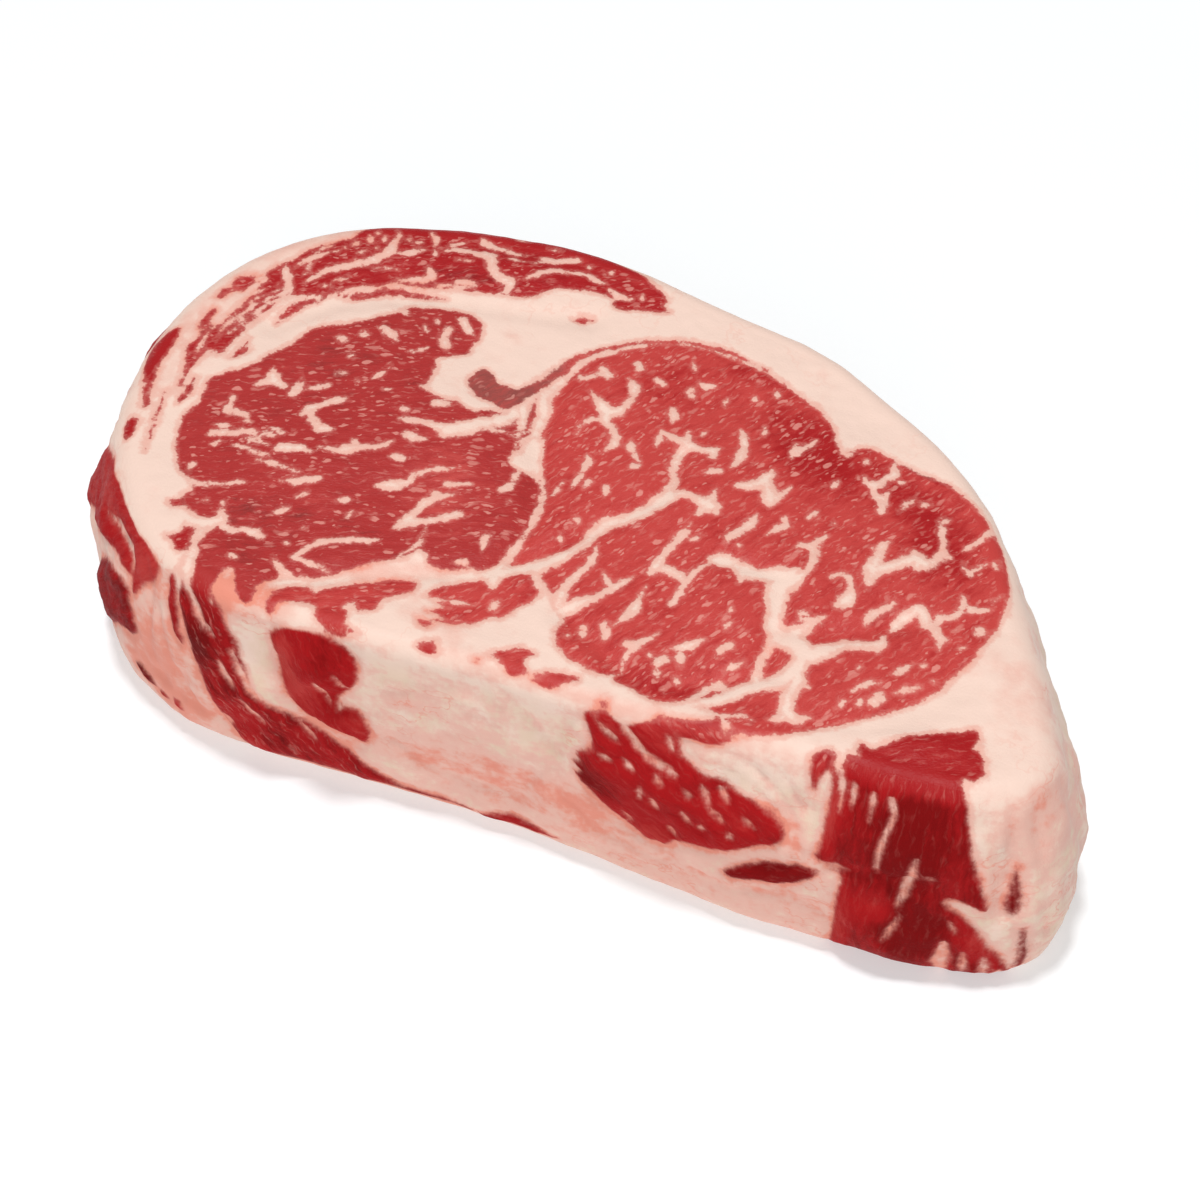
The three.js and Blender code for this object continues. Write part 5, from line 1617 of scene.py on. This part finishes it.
def add_lamp(name, power, size, place):
    """A round soft lamp that shines on the steak."""
    lamp = bpy.data.lights.new(name, "AREA")
    lamp.shape = "DISK"
    lamp.size = size
    lamp.energy = power
    holder = bpy.data.objects.new(name, lamp)
    bpy.context.scene.collection.objects.link(holder)
    holder.location = place
    holder.rotation_euler = (-Vector(place)).to_track_quat("-Z", "Y").to_euler()


def floor_material(colour_there, glow):
    """A plain matt floor that gives off a little light."""
    wiring = Wiring("pale_floor")
    shader = wiring.add("ShaderNodeBsdfPrincipled")
    shader.inputs["Base Color"].default_value = (*colour_there, 1)
    shader.inputs["Roughness"].default_value = FLOOR_ROUGHNESS
    shader.inputs["Specular IOR Level"].default_value = 0
    shader.inputs["Emission Color"].default_value = (1, 1, 1, 1)
    shader.inputs["Emission Strength"].default_value = glow
    output = wiring.add("ShaderNodeOutputMaterial")
    wiring.feed(output.inputs["Surface"], shader.outputs[0])
    return wiring.material


class STEAK_OT_stage(bpy.types.Operator):
    """Builds the pale floor, the soft light and the camera"""

    bl_idname = "steak.stage"
    bl_label = "Build the studio"

    def execute(self, context):
        studio = context.scene.steak_studio
        mesh = bpy.data.meshes.new("floor")
        half = FLOOR_SIZE / 2
        corners = [(-half, -half, 0), (half, -half, 0), (half, half, 0), (-half, half, 0)]
        mesh.from_pydata(corners, [], [(0, 1, 2, 3)])
        mesh.materials.append(floor_material(studio.floor_colour, studio.floor_glow))
        floor = bpy.data.objects.new("floor", mesh)
        context.scene.collection.objects.link(floor)
        floor.location.z = CAD_LOW.z

        add_lamp("key_lamp", studio.key_power, KEY_SIZE, KEY_PLACE)
        add_lamp("fill_lamp", studio.fill_power, FILL_SIZE, FILL_PLACE)
        world = bpy.data.worlds.new("soft_light")
        world.use_nodes = True
        sky = world.node_tree.nodes["Background"]
        sky.inputs["Color"].default_value = (1, 1, 1, 1)
        sky.inputs["Strength"].default_value = studio.sky_strength
        context.scene.world = world
        context.scene.view_settings.view_transform = "Standard"

        camera_data = bpy.data.cameras.new("camera")
        camera_data.lens = CAMERA_LENS
        camera_data.sensor_width = CAMERA_SENSOR
        camera = bpy.data.objects.new("camera", camera_data)
        context.scene.collection.objects.link(camera)
        middle = Vector((*studio.middle, 0)) * MILLIMETRE
        target = Vector(CAMERA_TARGET) * MILLIMETRE - middle
        level = math.cos(studio.elevation)
        back = Vector((
            math.sin(studio.azimuth) * level,
            -math.cos(studio.azimuth) * level,
            math.sin(studio.elevation),
        ))
        camera.location = target + back * studio.distance
        camera.rotation_euler = (-back).to_track_quat("-Z", "Y").to_euler()
        context.scene.camera = camera
        return {"FINISHED"}


class STEAK_PT_panel(bpy.types.Panel):
    """Lists the looks and the two builders"""

    bl_idname = "STEAK_PT_panel"
    bl_label = "Raw ribeye steak"
    bl_space_type = "VIEW_3D"
    bl_region_type = "UI"
    bl_category = "Steak"

    def draw(self, context):
        for settings in (context.scene.steak_look, context.scene.steak_studio):
            box = self.layout.box()
            for name in settings.bl_rna.properties.keys():
                if name not in ("rna_type", "name", "middle"):
                    box.prop(settings, name)
        self.layout.operator(STEAK_OT_meat.bl_idname)
        self.layout.operator(STEAK_OT_stage.bl_idname)


CLASSES = (SteakLook, StudioLook, STEAK_OT_meat, STEAK_OT_stage, STEAK_PT_panel)


def register():
    """Registers the classes and adds their settings to the scene."""
    for item in CLASSES:
        bpy.utils.register_class(item)
    bpy.types.Scene.steak_look = bpy.props.PointerProperty(type=SteakLook)
    bpy.types.Scene.steak_studio = bpy.props.PointerProperty(type=StudioLook)


def unregister():
    """Takes the settings and the classes away again."""
    del bpy.types.Scene.steak_studio
    del bpy.types.Scene.steak_look
    for item in reversed(CLASSES):
        bpy.utils.unregister_class(item)


def main():
    """Builds everything."""
    register()
    bpy.ops.steak.meat()
    bpy.ops.steak.stage()


if __name__ == "__main__":
    main()
